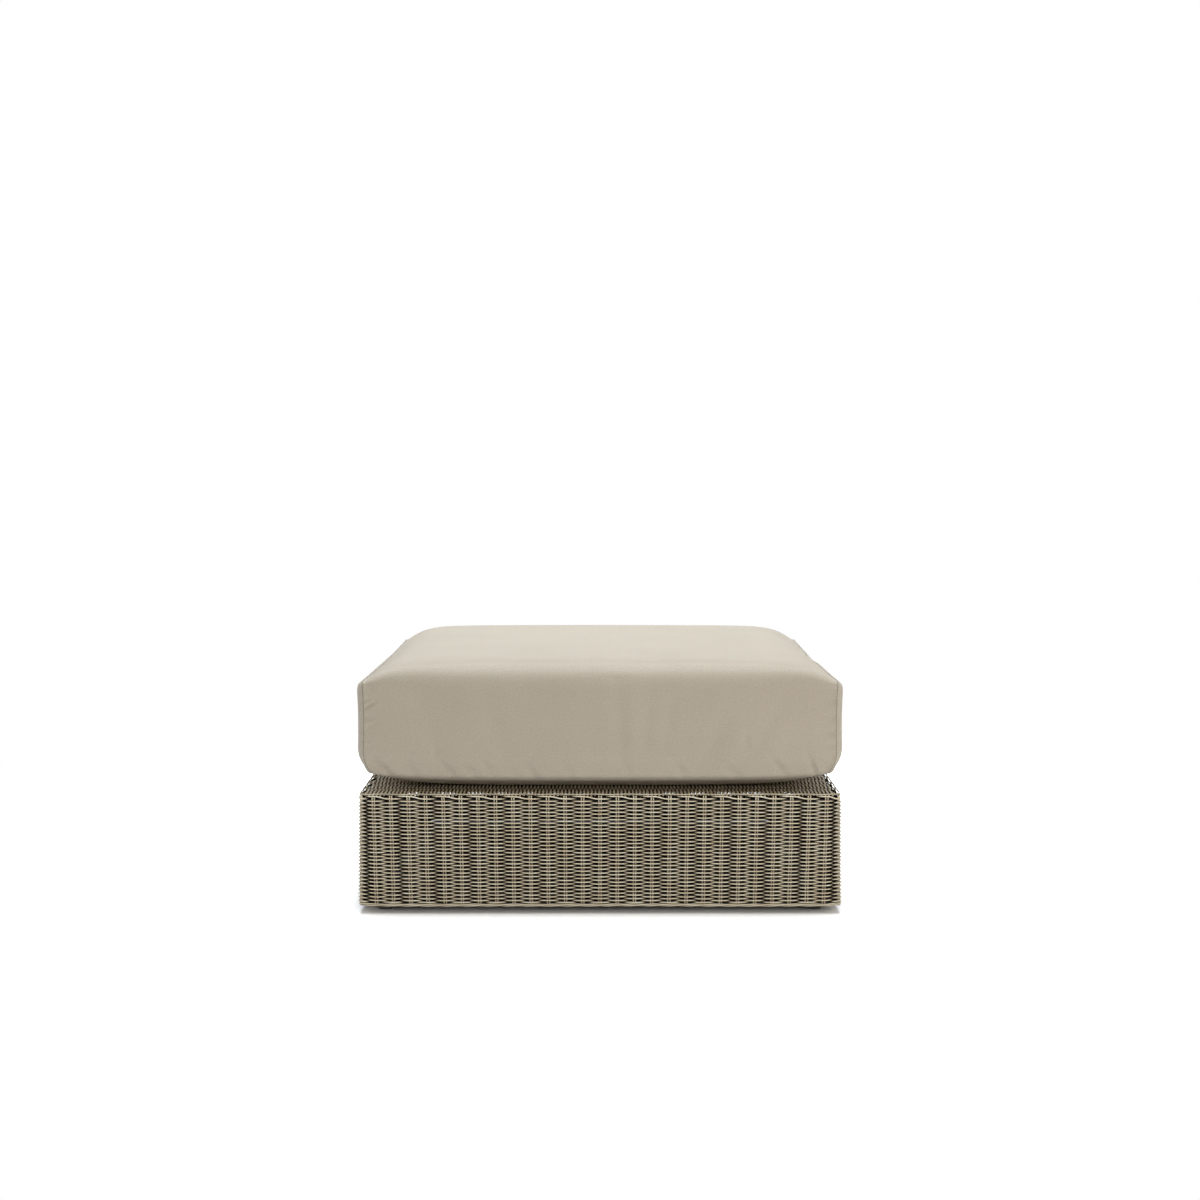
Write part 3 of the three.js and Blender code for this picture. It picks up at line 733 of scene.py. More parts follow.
# %% Woven deck
deck_half = cad_deck[1].x
deck_middle = deck_top - 4 * MM
deck_spaces = 16  # between cross stakes, front to back
deck_edge = 46 * MM  # from the ends of the rods to the first cross stakes
deck_pitch = 3.48 * MM
deck_count = round(2 * deck_half / deck_pitch)
deck_segments_per_space = 4
deck_rod_radius = 1.8 * MM
deck_swing = 1.9 * MM
deck_calm = 0.25  # how much of their wave the rods lose between the first cross stakes and the rim
deck_bend = 2 * MM  # how far the ends of the rods dip
deck_bend_from = 0.985  # of the way to the edge
sway_scale, sag_scale = 30.0, 12.0


def deck_tree():
    tree, given = geometry_tree("deck_weave", "Count Half Height Radius Seed")
    half, seed = given.half, given.seed
    rods, share, row = laid_rods(tree, given.count, (deck_spaces + 2) * deck_segments_per_space)
    y = share * half
    run = half - deck_edge
    crossing = ((y / run).at_least(-1.0).at_most(1.0) * 0.5 + 0.5) * deck_spaces
    wave = woven_wave(crossing, row)
    beyond = ((abs(y) - run) / deck_edge).at_least(0.0)
    wave = wave - wave * beyond * deck_calm
    end = ((abs(share) - deck_bend_from) / (1 - deck_bend_from)).at_least(0.0)
    x = ((row + 0.5) / given.count * 2.0 - 1.0) * (half - given.radius)
    straight = vector(x, y, given.height)
    sway = noise_at(straight, sway_scale, seed) * wander_height
    sag = noise_at(straight, sag_scale, row * 2.3 + seed) * wander_depth
    z = given.height + wave * deck_swing + sag - end * end * deck_bend
    point = vector(x + sway, y, z)
    tone = chance(row, seed)
    return bent_to(point, rods, given, over=wave, tone=tone, along=y + row * 3.17)


deck_place = {"Half": deck_half, "Height": deck_middle}
look = {"Radius": deck_rod_radius, "Seed": 19, "Material": strand_material}
deck = grow("deck_weave", deck_tree(), Count=deck_count, **deck_place, **look)
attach(deck, "base")
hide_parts("woven_deck")


# %% Cross stakes of the deck
def cross_stake_tree():
    tree, given = geometry_tree("cross_stakes", "Half Height Radius Seed")
    rods, share, index = laid_rods(tree, 2 * (deck_spaces + 1), stake_segments)
    pair, beside = pair_and_side(index)
    x = share * (given.half - 2 * MM)
    y = (pair * (2 / deck_spaces) - 1.0) * (given.half - deck_edge) + beside
    straight = vector(x, y, given.height)
    bend = noise_at(straight, bend_scale, index + given.seed) * stake_bend
    point = vector(x, y + bend, given.height)
    tone = chance(index, given.seed) * 0.5 + 0.25
    # The cross stakes get a low over, so they are painted in shade.
    return bent_to(point, rods, given, over=-0.1, tone=tone, along=x + index * 2.3)


look = {"Radius": stake_radius, "Seed": 23, "Material": dark_strand_material}
cross_stakes = grow("cross_stakes", cross_stake_tree(), **deck_place, **look)
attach(cross_stakes, "base")

# %% [markdown]
# Each foot is a leg of the frame with short strands laid slantwise round it. The rods stand on a square path
# with round corners: a rounded square is the curve on which |x| to a power plus |y| to the same power is one.

# %% Foot wraps
foot_rods_per_face = 9
foot_slant = 0.22  # of a face, from the bottom of a rod to its top
foot_rod_radius = 1.3 * MM
foot_power = 10.0


def foot_tree():
    tree, given = geometry_tree("foot_wrap", "X Y Half Bottom Top Radius Seed")
    rods, share, index = laid_rods(tree, len(CORNERS) * foot_rods_per_face, 4)
    place = (index + 0.5) / foot_rods_per_face + share * (foot_slant / 2)
    face = place.floor()
    across = (place - face) * 2.0 - 1.0
    size = abs(across).power(foot_power) + 1.0
    reach = given.half / size.power(1 / foot_power)
    height = given.bottom + (given.top - given.bottom) * (share * 0.5 + 0.5)
    flat = turned_by(vector(reach, reach * across, height), face)
    middle = vector(given.x, given.y)
    point = add(tree, "ShaderNodeVectorMath", (flat, middle), operation="ADD")
    tone = chance(index, given.seed)
    # The foot rods get a high over, so they are painted as lit as a proud rod.
    return bent_to(point, rods, given, over=0.6, tone=tone, along=height + index * 1.7)


wraps = foot_tree()
for corner in CORNERS:
    low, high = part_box(f"foot_wrap_{corner}")
    middle = (low + high) / 2
    sizes = {"Half": (high.x - low.x) / 2 - foot_rod_radius, "Bottom": low.z + foot_rod_radius, "Top": high.z}
    look = {"Radius": foot_rod_radius, "Seed": 29, "Material": dark_strand_material}
    wrap = grow(f"foot_rods_{corner}", wraps, X=middle.x, Y=middle.y, **sizes, **look)
    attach(wrap, "base")
    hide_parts(f"foot_wrap_{corner}")

# %% [markdown]
# The frame under the weave is square tube with a brown powder coat, and the glides are moulded plastic. Their
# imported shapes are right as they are, so they stay and only get a finish: a colour that drifts a little, the
# dimpled skin of each process, and dust where noise says so. The zip's metal parts are brushed nickel.


# %% Finishes of the frame and the glides
def shader_group(name, amount, outputs):
    """A shader group that is given a place and one amount: its tree, both as values, and its end."""
    tree = bpy.data.node_groups.new(name, "ShaderNodeTree")
    tree.interface.new_socket("Vector", in_out="INPUT", socket_type="NodeSocketVector")
    tree.interface.new_socket(amount, in_out="INPUT", socket_type="NodeSocketFloat")
    for label in outputs:
        tree.interface.new_socket(label, in_out="OUTPUT", socket_type="NodeSocketFloat")
    start = tree.nodes.new("NodeGroupInput")
    given = [Value(tree, start.outputs[label]) for label in ("Vector", amount)]
    return tree, *given, tree.nodes.new("NodeGroupOutput")


def dust_group():
    """A shared layer: how much dust lies on a surface, patchy and more of it on faces that look up."""
    tree, place, amount, end = shader_group("dust", "Amount", ["Mask"])
    patches = blotches(place, 34.0, 4.0).ramp(0.42, 0.72)
    mask = (patches * 0.6 + facing_up(tree).at_least(0.0) * 0.4) * amount
    feed(tree, end.inputs["Mask"], mask)
    return tree


dust = dust_group()
dust_colour = (0.36, 0.33, 0.28, 1)


def moulded_finish(name, low, high, roughness, dimple_scale, dimple_depth, dust_amount):
    """A coat or plastic: two close colours, a dimpled skin and some dust."""
    material, tree = new_material(name)
    place = object_place(tree)
    drift = blotches(place, 9.0, 3.0).ramp(0.3, 0.7)
    inputs = {"Vector": place, "Amount": dust_amount}
    mask = add(tree, "ShaderNodeGroup", inputs, out="Mask", node_tree=dust)
    colour = mixed(mask, mixed(drift, low, high), dust_colour)
    dimples = blotches(place, dimple_scale)
    rough = dimples * 0.15 + mask * 0.4 + (roughness - 0.07)
    return surfaced(material, colour, rough, (0.5, dimple_depth, dimples))


def metal_finish(name, colour, roughness):
    """Plated metal with fine brushing and a little tarnish."""
    material, tree = new_material(name)
    place = object_place(tree)
    tarnish = blotches(place, 220.0, 3.0).ramp(0.45, 0.75)
    stretched = add(tree, "ShaderNodeMapping", {"Vector": place, "Scale": (300.0, 2600.0, 2600.0)})
    brushed = blotches(stretched, 1.0)
    darker = [c * 0.6 for c in colour[:3]] + [1]
    tint = mixed(tarnish * 0.6, colour, darker)
    rough = brushed * 0.2 + tarnish * 0.15 + roughness
    return surfaced(material, tint, rough, (0.3, 0.00005, brushed), {"Metallic": 1.0})


coat = (0.016, 0.012, 0.009, 1), (0.026, 0.020, 0.015, 1)
plastic = (0.010, 0.010, 0.010, 1), (0.020, 0.019, 0.018, 1)
finishes = {
    "frame_coat": moulded_finish("powder_coat", *coat, 0.55, 900.0, 0.00015, 0.12),
    "glide": moulded_finish("glide_plastic", *plastic, 0.5, 1500.0, 0.0001, 0.5),
    "zip_metal": metal_finish("zip_nickel", (0.62, 0.60, 0.56, 1), 0.24),
}
for subpart in frame["record"]["subparts"]:
    finish = finishes.get(subpart["material_slot"])
    if finish:
        for slot in frame["nodes"][subpart["node"]].material_slots:
            slot.material = finish
print("finishes on the packed pieces:", ", ".join(finishes))

# %% [markdown]
# The cushion cover is a waterfall: one panel goes over the top, front, underside and back, and a side panel
# is sewn in at each end. A box with subdivided faces is bent to that shape. Every point is three shares, from
# -1 to 1, of the way along, across and up. The section is a rounded square like a foot's, roundest above,
# squarer at the seams and squarest below, where the lip is crisp. The side panels bulge past the seams.

# %% Cushion shape
cad_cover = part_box("cushion_wrap_panel")
cad_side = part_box("cushion_side_panel_right")
cad_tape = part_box("zip_tape_upper")
seam_half = cad_cover[1].x
rest_height = cad_cover[0].z
settle = 3 * MM  # the underside is pressed flat by this much
half_thickness = (cad_cover[1].z - rest_height + settle) / 2
cushion_middle = cad_cover[1].z - half_thickness
front_bulge = 13 * MM
back_bulge = 3 * MM
half_depth = cad_cover[1].y - back_bulge
crown_fall = 6 * MM  # of the crown on its way to the seams, gently
edge_fall = 32 * MM  # and round the last part
seam_sag = 5 * MM  # of the top seams between their corners
under_lift = 28 * MM  # of the front and back lips off the deck
top_power, under_power, seam_power = 8, 40, 20
side_seat = 0.75 * MM  # from the seam to the outside of the side panel next to it
side_bulge = cad_side[1].x - seam_half - side_seat + 6.5 * MM
seam_pinch = 3.5 * MM  # the upright seams are drawn in by this much half way up
seam_tuck = 23 * MM  # and at their lower ends
lip_tuck = 14 * MM  # the lower edges of the front and back lie this much further in
zip_half = cad_tape[1].x
zip_band = cad_tape[1].z - cushion_middle  # half of the opening's height


def cushion_points(shares, inset=0.0):
    """Where the cover is, for rows of shares; inset draws the whole shape in."""
    along, across, up = shares.T
    share = np.abs(along)
    soft_power = np.where(up < 0, under_power, top_power)
    power = soft_power + (seam_power - soft_power) * share**6
    sag = np.where(up > 0, seam_sag * (1 - across**4), 0)
    fall = crown_fall * share**3 + (edge_fall + sag) * share**11
    wedge = np.clip((np.abs(across) - 0.7) / 0.3, 0, 1) ** 1.6 * np.clip(-up * 1.5, 0, 1)
    height = half_thickness - inset - fall * (1 - 0.95 * wedge) - under_lift * wedge
    bulge = np.where(across < 0, front_bulge, back_bulge) * (1 - share**3)
    low = np.clip((-up - 0.45) / 0.55, 0, 1)
    depth = half_depth + bulge - inset - lip_tuck * low**2
    outline = np.maximum(np.abs(across), np.abs(up))
    safe = np.maximum(outline, 1e-9)
    a, u = across / safe, up / safe
    size = outline / np.maximum(np.abs(a) ** power + np.abs(u) ** power, 1e-9) ** (1 / power)
    waist = seam_half - seam_pinch * (1 - up**2) - seam_tuck * low**2.2
    squareness = 14 - 6 * np.clip(across * 3, -1, 1)
    dome = side_seat + side_bulge * np.sqrt(1 - outline**squareness) - inset
    on_wrap = along * (seam_half + (waist - seam_half) * share**6)
    x = np.where(share == 1, np.sign(along) * (waist + dome), on_wrap)
    return np.column_stack([x, a * size * depth, cushion_middle + u * size * height])


def graded(*parts):
    """Shares from -1 to 1, even on both sides; each part says where it ends and how many cells it has."""
    shares = [0.0]
    for end, cells in parts:
        shares += list(np.linspace(shares[-1], end, cells + 1)[1:])
    return [-share for share in reversed(shares[1:])] + shares


def box_grid(xs, ys, zs):
    """A closed box of quads that look outwards: its points as shares, and its faces with their axis."""
    rows, faces, index = [], [], {}
    ends = len(xs) - 1, len(ys) - 1, len(zs) - 1

    def at(i, j, k):
        if (i, j, k) not in index:
            index[i, j, k] = len(rows)
            rows.append((xs[i], ys[j], zs[k]))
        return index[i, j, k]

    def both(axis, a, b):
        """The same cell on both sides that an axis runs through."""
        low = [(a, b), (a, b + 1), (a + 1, b + 1), (a + 1, b)]
        high = [low[0], *low[:0:-1]]
        if axis == 1:
            low, high = high, low
        for end, corners in ((0, low), (ends[axis], high)):
            faces.append((axis, [at(*corner[:axis], end, *corner[axis:]) for corner in corners]))

    for i in range(ends[0]):
        for j in range(ends[1]):
            both(2, i, j)
        for k in range(ends[2]):
            both(1, i, k)
    for j in range(ends[1]):
        for k in range(ends[2]):
            both(0, j, k)
    return np.array(rows), faces


zip_lines = [zip_band * 0.97 / half_thickness, (zip_band + 1.3 * MM) / half_thickness]
along_shares = graded((0.9, 54), (0.985, 9), (1, 2))
across_shares = graded((0.8, 28), (0.985, 14), (1, 2))
up_shares = graded((zip_lines[0], 2), (zip_lines[1], 1), (0.5, 8), (0.97, 12), (1, 2))
shares, cover_faces = box_grid(along_shares, across_shares, up_shares)
start_inset = 3 * MM
start = cushion_points(shares, start_inset)
print("cushion:", len(shares), "points and", len(cover_faces), "faces before subdivision")

# %% [markdown]
# Cloth simulation fills the cover. The shape starts a little small, and pressure pushes it out like fibre
# round foam, while the band for the zip is pinned. Foam sets how far a real cover can go, so both the push
# across the surface and the slide along it have a soft cap and are evened out over neighbouring points. The
# crisp lower lips at the front and back keep the plain shape.


# %% Fill the cushion
cloth_settings = {
    "quality": 4,
    "mass": 0.3,
    "tension_stiffness": 12,
    "compression_stiffness": 12,
    "shear_stiffness": 5,
    "bending_stiffness": 0.6,
    "vertex_group_mass": "pin",
    "use_pressure": True,
    "uniform_pressure_force": 4.0,
}
fill_frames = 20


def filled(points, faces, pinned):
    """Cloth simulation of a closed cover: where its points are after some frames of pressure."""
    mesh = bpy.data.meshes.new("fill")
    mesh.from_pydata(points.tolist(), [], [corners for _, corners in faces])
    holder = placed("fill", mesh)
    pin = holder.vertex_groups.new(name="pin")
    pin.add([int(k) for k in np.flatnonzero(pinned)], 1.0, "REPLACE")
    cloth = holder.modifiers.new("cloth", "CLOTH")
    for setting, value in cloth_settings.items():
        setattr(cloth.settings, setting, value)
    cloth.settings.effector_weights.gravity = 0
    cloth.point_cache.frame_start = 1
    cloth.point_cache.frame_end = fill_frames
    scene = bpy.context.scene
    for frame_number in range(1, fill_frames + 1):
        scene.frame_set(frame_number)
    evaluated = holder.evaluated_get(bpy.context.evaluated_depsgraph_get())
    result = np.empty(len(points) * 3)
    evaluated.data.vertices.foreach_get("co", result)
    scene.frame_set(1)
    bpy.data.objects.remove(holder)
    bpy.data.meshes.remove(mesh)
    return result.reshape(-1, 3)


def outward(points, corners):
    """The direction out of the cover at each point."""
    diagonals = points[corners[:, 2]] - points[corners[:, 0]], points[corners[:, 3]] - points[corners[:, 1]]
    normals = np.zeros_like(points)
    for corner in corners.T:
        np.add.at(normals, corner, np.cross(*diagonals))
    return normals / np.linalg.norm(normals, axis=1)[:, None]


def eased(values, corners, passes):
    """Values evened out with those of their neighbours."""
    for _ in range(passes):
        total, count = np.zeros_like(values), np.zeros((len(values), 1))
        for here, there in zip(corners.T, np.roll(corners, -1, axis=1).T):
            np.add.at(total, here, values[there])
            np.add.at(count, here, 1)
        values = (values + total / count) / 2
    return values


swell_cap = 3 * MM
draw_cap = -1 * MM
ease_passes = 14
in_zip_band = (start[:, 1] > 0.4) & (np.abs(start[:, 2] - cushion_middle) < zip_band + 5 * MM)
in_zip_band &= np.abs(start[:, 0]) < zip_half + 6 * MM
points = cushion_points(shares)
corners = np.array([face for _, face in cover_faces])
move = filled(start, cover_faces, in_zip_band) - start
out = outward(start, corners)
push = (move * out).sum(axis=1)
spread = [round(value / MM, 1) for value in np.percentile(push, (1, 25, 50, 75, 99))]
print("pressure pushed the cover out by", spread, "mm")
slide = swell_cap * np.tanh((move - push[:, None] * out) / (2 * swell_cap))
gentle = np.maximum(swell_cap * np.tanh(push / (2 * swell_cap)), draw_cap)
at_edge = np.clip((np.abs(shares[:, 1]) - 0.93) / 0.05, 0, 1)
crisp = (at_edge * np.clip((-shares[:, 2] - 0.8) / 0.15, 0, 1))[:, None]
swollen = start + eased(gentle[:, None] * out + slide, corners, ease_passes) * (1 - crisp)
points = swollen + (points - start) * crisp

# %% [markdown]
# The sewing comes after the simulation: the seams are pulled in, the cover puckers beside them, and the front
# corners stand up where three layers meet. Each of these is a push with a middle, a reach and a direction, so
# one small function makes them all. Folds are long dents with a low ridge on each side. Their places follow
# what the photograph shows, and a seeded generator scatters the small ones.


# %% Seams, puckers and folds
def press(points, middle, reach, move):
    """Push what lies near a point, most at its middle."""
    distance = ((points - np.array(middle)) / np.array(reach)) ** 2
    weight = np.exp(-distance.sum(axis=1))
    points += weight[:, None] * np.array(move)


def fold(points, x, z, length, width, angle, depth):
    """A long dent in the front, leaning by an angle from upright, with a ridge on each side."""
    right, up = points[:, 0] - x, points[:, 2] - z
    along = (up * math.cos(angle) - right * math.sin(angle)) / length
    beside = (right * math.cos(angle) + up * math.sin(angle)) / width
    weight = np.exp(-(along**2) - beside**2) * (1 - 0.9 * beside**2)
    points[:, 1] += np.where(points[:, 1] < -0.36, weight * depth, 0)


outline = np.maximum(np.abs(shares[:, 1]), np.abs(shares[:, 2]))
is_seam = (np.abs(shares[:, 0]) == 1) & (outline == 1)
seam_pull = 2.2 * MM
inward = np.array([0, 0, cushion_middle]) - points[is_seam]
inward[:, 0] = 0
inward /= np.linalg.norm(inward, axis=1)[:, None]
flat_seam = cushion_points(shares[is_seam])
points[is_seam] = flat_seam + inward * seam_pull
points[is_seam, 0] -= np.sign(flat_seam[:, 0]) * (side_seat + 0.3 * MM)

rng = np.random.default_rng(41)
seam_top = cushion_middle + half_thickness - crown_fall - edge_fall
ear_reach = (8 * MM, 12 * MM, 9 * MM)
ears = ((-half_depth + 2 * MM, -2 * MM, 5 * MM), (half_depth - 2 * MM, -1 * MM, -2 * MM))
for side in (-1, 1):
    for y, out, lift in ears:
        press(points, (side * seam_half, y, seam_top), ear_reach, (side * 1.5 * MM, out, lift))
    for y in np.arange(-0.36, 0.38, 0.036):
        drop = -rng.uniform(1.0, 3.4) * MM
        place = (side * (seam_half - 12 * MM), y + rng.uniform(-10, 10) * MM, seam_top + 2 * MM)
        press(points, place, (34 * MM, rng.uniform(5, 8) * MM, 16 * MM), (0, 0, drop))
    for z in np.arange(rest_height + 0.04, seam_top - 0.01, 0.026):
        dip = rng.uniform(1.0, 3.2) * MM
        place = (side * (seam_half - 9 * MM), -half_depth, z + rng.uniform(-6, 6) * MM)
        press(points, place, (15 * MM, 30 * MM, rng.uniform(4.5, 7) * MM), (0, dip, 0))
press(points, (seam_half, 0.066, seam_top), (20 * MM, 60 * MM, 20 * MM), (-5 * MM, 0, -2 * MM))

lip_lean = math.radians(38)
lip_folds = (  # x, z, depth
    (-0.398, 0.262, 2.6), (-0.346, 0.258, 1.6), (-0.286, 0.266, 2.4), (-0.238, 0.258, 1.4),
    (-0.207, 0.262, 1.2), (-0.125, 0.256, 1.8), (-0.060, 0.258, 1.1), (0.052, 0.256, 1.4),
    (0.148, 0.260, 1.2), (0.243, 0.258, 1.5), (0.331, 0.264, 2.0), (0.392, 0.266, 2.2),
)
for x, z, depth in lip_folds:
    width = rng.uniform(6, 9) * MM
    fold(points, x, z, 24 * MM, width, lip_lean * rng.uniform(0.6, 1.3), 2.4 * depth * MM)
front_folds = (  # x, z, length and width in mm, lean in degrees, depth
    (0.036, 0.350, 70, 26, 4, 1.0),
    (0.087, 0.335, 75, 30, -3, 0.8),
    (0.125, 0.350, 60, 24, -8, 0.7),
    (0.215, 0.320, 80, 34, -26, 0.8),
    (0.300, 0.330, 70, 32, -34, 0.7),
    (-0.190, 0.340, 80, 40, 14, 0.9),
    (-0.310, 0.330, 70, 34, 24, 0.9),
    (-0.3025, 0.2946, 12, 10, 0, 1.4),
    (0.2688, 0.3148, 12, 10, 0, 1.4),
    (-0.426, 0.379, 14, 5, -58, 1.8),
    (-0.424, 0.342, 10, 5, -70, 1.3),
    (-0.424, 0.304, 9, 5, -70, 1.2),
)
for x, z, length, width, angle, depth in front_folds:
    fold(points, x, z, length * MM, 0.7 * width * MM, math.radians(angle), 3 * depth * MM)
nick = (0.034, -half_depth - front_bulge, 0.4285)
press(points, nick, (24 * MM, 30 * MM, 6 * MM), (0, 1.2 * MM, -0.8 * MM))

is_zip = in_zip_band & (np.abs(start[:, 2] - cushion_middle) < zip_band) & (np.abs(start[:, 0]) < zip_half)
points[in_zip_band, 1] = np.maximum(points[in_zip_band, 1], cad_tape[1].y + 0.8 * MM)
points[is_zip, 1] = cad_tape[0].y - 0.6 * MM
points[:, 2] = np.maximum(points[:, 2], rest_height)
print("widest, highest:", np.abs(points[:, 0]).max().round(4), points[:, 2].max().round(4))
print("seams pulled in at", int(is_seam.sum()), "points")

# %% [markdown]
# The cover is a woven outdoor canvas, plain weave, about two threads to a millimetre. Its pattern follows the
# cloth, so the mesh carries a UV map in metres: along and round the wrap panel, and across and up a side
# panel. From afar the weave only softens the surface; close up the threads show.


# %% Canvas finish
def weave_group():
    """A plain weave: the height of the threads, and a shade that changes from thread to thread."""
    tree, place, threads, end = shader_group("plain_weave", "Threads", ["Height", "Shade"])
    warp = add(tree, "ShaderNodeSeparateXYZ", {"Vector": place})
    across, up = warp * threads, warp.other("Y") * threads
    column, row = across.floor(), up.floor()
    is_warp = ((column + row) * 0.5).fract().math("GREATER_THAN", 0.25)
    warp_height, weft_height = abs((across * math.pi).sin()), abs((up * math.pi).sin())
    warp_shade = blotches(vector(column * 0.73, up * 0.035, 3.0), 1.0)
    weft_shade = blotches(vector(across * 0.035, row * 0.73, 11.0), 1.0)
    feed(tree, end.inputs["Height"], weft_height + (warp_height - weft_height) * is_warp)
    feed(tree, end.inputs["Shade"], weft_shade + (warp_shade - weft_shade) * is_warp)
    return tree


plain_weave = weave_group()


def cloth_finish(name, low, high, threads, depth, sheen):
    material, tree = new_material(name)
    uv = add(tree, "ShaderNodeUVMap", uv_map="cloth")
    inputs = {"Vector": uv, "Threads": threads}
    height = add(tree, "ShaderNodeGroup", inputs, out="Height", node_tree=plain_weave)
    shade = height.other("Shade").ramp(0.25, 0.75)
    drift = blotches(object_place(tree), 7.0, 3.0).ramp(0.3, 0.7)
    slubs = blotches(uv, 420.0, 3.0).ramp(0.3, 0.7)
    # The crowns of the threads are painted a little lighter than the dips between them: painted shade in the
    # dips.
    share = shade * 0.3 + slubs * 0.45 + drift * 0.1 + height * 0.15
    others = {"Sheen Weight": sheen, "Sheen Roughness": 0.5, "Specular IOR Level": 0.25}
    rough = height * -0.1 + 0.95
    return surfaced(material, mixed(share, low, high), rough, (0.6, depth, height), others)


def fine_finish(name, low, high, drift_scale, grain_scale, detail, strength, depth, roughness):
    """Thread or nylon: two close colours and a fine grain."""
    material, tree = new_material(name)
    place = object_place(tree)
    grain = blotches(place, grain_scale, detail)
    colour = mixed(blotches(place, drift_scale, detail), low, high)
    return surfaced(material, colour, grain * 0.2 + roughness, (strength, depth, grain))


canvas = cloth_finish("canvas", (0.390, 0.339, 0.267, 1), (0.614, 0.546, 0.452, 1), 1900.0, 0.00015, 0.1)
tape_cloth = cloth_finish("zip_tape", (0.40, 0.36, 0.30, 1), (0.56, 0.51, 0.43, 1), 2400.0, 0.00012, 0.05)
# The thread's colour is near black, which also paints the shade in the seam's groove and stitch holes.
thread_and_shade_colours = (0.018, 0.015, 0.012, 1), (0.075, 0.063, 0.048, 1)
thread = fine_finish("thread", *thread_and_shade_colours, 2600.0, 2600.0, 1.0, 0.5, 0.0001, 0.5)
nylon_colours = (0.300, 0.262, 0.205, 1), (0.400, 0.352, 0.280, 1)
coil_nylon = fine_finish("coil_nylon", *nylon_colours, 60.0, 900.0, 2.0, 0.3, 0.00008, 0.3)
print("canvas, tape, thread and nylon finishes ready")


# %% Cushion piece
def cloth_mesh(name, points, faces, flat_points, material):
    """A mesh of box_grid's faces, with a UV map in metres over the two axes that each face lies along."""
    mesh = bpy.data.meshes.new(name)
    mesh.from_pydata(points.tolist(), [], [corners for _, corners in faces])
    layer = mesh.uv_layers.new(name="cloth")
    values = np.empty((len(mesh.loops), 2))
    for (axis, _), polygon in zip(faces, mesh.polygons):
        for loop in polygon.loop_indices:
            values[loop] = np.delete(flat_points[mesh.loops[loop].vertex_index], axis)
    layer.data.foreach_set("uv", values.ravel())
    mesh.materials.append(material)
    return mesh


cushion_mesh = cloth_mesh("cushion_cover", points, cover_faces, cushion_points(shares), canvas)
cushion_mesh.shade_smooth()
crease = cushion_mesh.attributes.new("crease_edge", "FLOAT", "EDGE")
for edge in cushion_mesh.edges:
    if is_seam[edge.vertices[0]] and is_seam[edge.vertices[1]]:
        crease.data[edge.index].value = 1.0
cushion = placed("cushion_cover", cushion_mesh)
smooth = cushion.modifiers.new("smooth", "SUBSURF")
smooth.levels = smooth.render_levels = 1
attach(cushion, "cushion")
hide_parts("cushion_wrap_panel", "cushion_side_panel_left", "cushion_side_panel_right")
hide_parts("fibre_wrap", "foam_core")

# %% [markdown]
# Both side panels are sewn in with a thread that shows in the groove of the seam, and the zip's tapes
# are sewn to the cover with a row above and a row below. The thread is coloured near black, so that it also
# paints the shade in the groove and in the stitch holes: painted shade. A stitch is a short bead of thread,
# so one tree lays beads at an even pitch along any path. The paths come from the cover itself: round its
# seams, and over its back where rays from behind meet the cloth.


# %% Stitches
stitch_pitch = 3.3 * MM
stitch_length = 2.3 * MM
thread_radius = 0.6 * MM
zip_row_points = 90
behind_cushion = 0.6  # where the rays start


def stitch_tree():
    tree, given = geometry_tree("stitches", "Pitch Length Radius Seed")
    line = add(tree, "GeometryNodeMeshToCurve", {"Mesh": given.path})
    spots = add(tree, "GeometryNodeCurveToPoints", {"Curve": line, "Length": given.pitch}, mode="LENGTH")
    bead = add(tree, "GeometryNodeMeshUVSphere", {"Segments": 6, "Rings": 4, "Radius": 1.0})
    index = add(tree, "GeometryNodeInputIndex")
    long = given.length * (chance(index, given.seed) * 0.2 + 0.4)
    size = vector(given.radius, given.radius, long)
    inputs = {"Points": spots, "Instance": bead, "Rotation": spots.other("Rotation"), "Scale": size}
    return finished(add(tree, "GeometryNodeInstanceOnPoints", inputs), given.material)


def path_mesh(name, lines):
    """Open or closed lines of points as a mesh of edges."""
    rows, edges = [], []
    for line, closed in lines:
        first = len(rows)
        rows += [tuple(point) for point in line]
        edges += [(first + k, first + k + 1) for k in range(len(line) - 1)]
        if closed:
            edges.append((len(rows) - 1, first))
    mesh = bpy.data.meshes.new(name)
    mesh.from_pydata(rows, edges, [])
    return mesh


def seam_line(side):
    """The side's seam as the subdivided cover has it, in order round the panel."""
    ring = np.flatnonzero(is_seam & (shares[:, 0] == side))
    ring = ring[np.argsort(np.arctan2(shares[ring, 2], shares[ring, 1]))]
    corners = points[ring]
    return (6 * corners + np.roll(corners, 1, axis=0) + np.roll(corners, -1, axis=0)) / 8


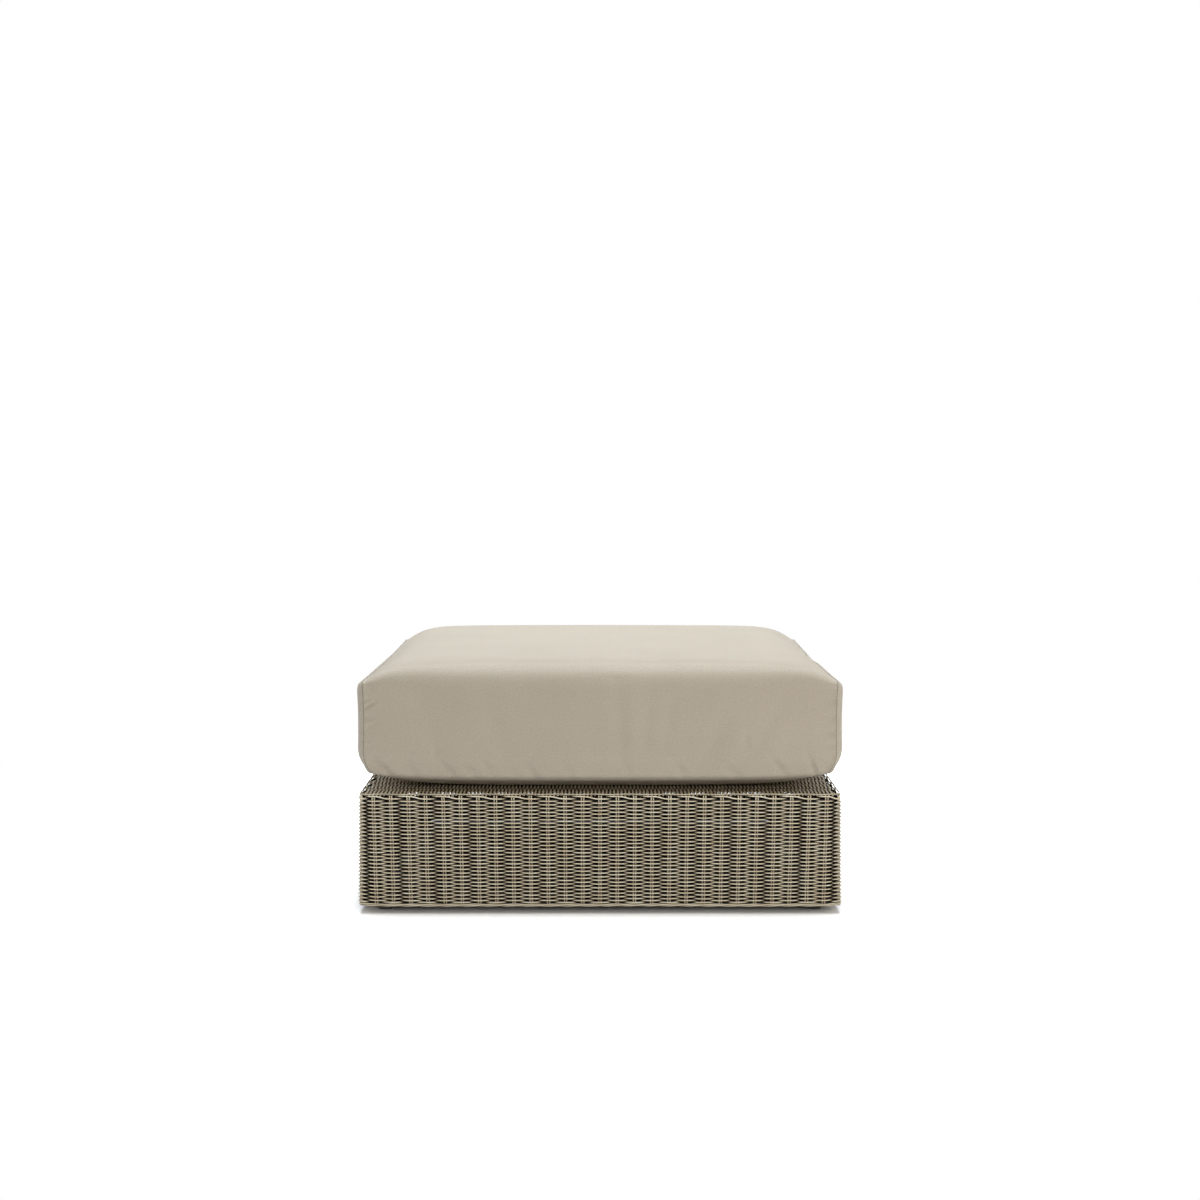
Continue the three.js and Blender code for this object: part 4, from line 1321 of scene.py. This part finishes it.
stitches = stitch_tree()
sizes = {"Pitch": stitch_pitch, "Length": stitch_length, "Radius": thread_radius}
cover_surface = BVHTree.FromObject(cushion, bpy.context.evaluated_depsgraph_get())
row_half = zip_half + 4 * MM
zip_rows = []
for up in (-1, 1):
    height = cushion_middle + up * (zip_band + 5 * MM)
    row = [Vector((x, behind_cushion, height)) for x in np.linspace(-row_half, row_half, zip_row_points)]
    met = [cover_surface.ray_cast(origin, Vector((0, -1, 0)))[0] for origin in row]
    zip_rows.append(([point for point in met if point], False))
seams = [(seam_line(-1), True), (seam_line(1), True)]
for name, lines in {"seam_stitches": seams, "zip_stitches": zip_rows}.items():
    sewn = grow(name, stitches, path=path_mesh(name, lines), Seed=17, Material=thread, **sizes)
    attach(sewn, "cushion")

# %% [markdown]
# The zip is a nylon coil: each half is one thread wound in a flat spiral on the edge of its tape, and the two
# spirals mesh. The tapes are woven, so they get the canvas's weave group with finer threads. The stops, the
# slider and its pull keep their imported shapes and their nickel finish.


# %% Zip coil
coil_pitch = 1.5 * MM
coil_thread = 0.28 * MM
coil_steps = 8  # round one turn
coil_sides = 5


def coil_tree():
    tree, given = geometry_tree("zip_coil", "Turns Half Y Z Deep High Radius")
    rods, share, half = laid_rods(tree, 2, given.turns * coil_steps)
    side = half * 2.0 - 1.0
    angle = ((share * 0.5 + 0.5) * given.turns + side * 0.25) * (2 * math.pi)
    y = given.y + angle.sin() * given.deep
    z = given.z + side * given.high * (angle.cos() * 0.55 + 0.5)
    return bent_to(vector(share * given.half, y, z), rods, given, coil_sides)


low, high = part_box("zip_chain")
middle, half = (low + high) / 2, (high - low) / 2
sizes = {"Turns": round(2 * half.x / coil_pitch), "Half": half.x, "Y": middle.y, "Z": middle.z}
sizes |= {"Deep": half.y - coil_thread, "High": half.z - coil_thread, "Radius": coil_thread}
coil = grow("zip_coil", coil_tree(), Material=coil_nylon, **sizes)
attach(coil, "cushion")
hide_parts("zip_chain")

# %% Zip tapes
tape_ripple = 0.12 * MM
tape_columns, tape_rows = 240, 8
for name in ("zip_tape_upper", "zip_tape_lower"):
    low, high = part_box(name)
    xs, zs = np.linspace(low.x, high.x, tape_columns), np.linspace(low.z, high.z, tape_rows)
    flat_rows, faces = box_grid(xs, [low.y, high.y - tape_ripple], zs)
    rows = flat_rows.copy()
    wave = np.sin(rows[:, 0] * 310) * np.sin(rows[:, 0] * 83 + 1)
    rows[:, 1] += tape_ripple * (wave * 0.5 + 0.5) * (rows[:, 1] > low.y)
    mesh = cloth_mesh(f"woven_{name}", rows, faces, flat_rows, tape_cloth)
    tape = placed(f"woven_{name}", mesh)
    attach(tape, "cushion")
    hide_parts(name)
    print(mesh.name, len(mesh.polygons), "faces")
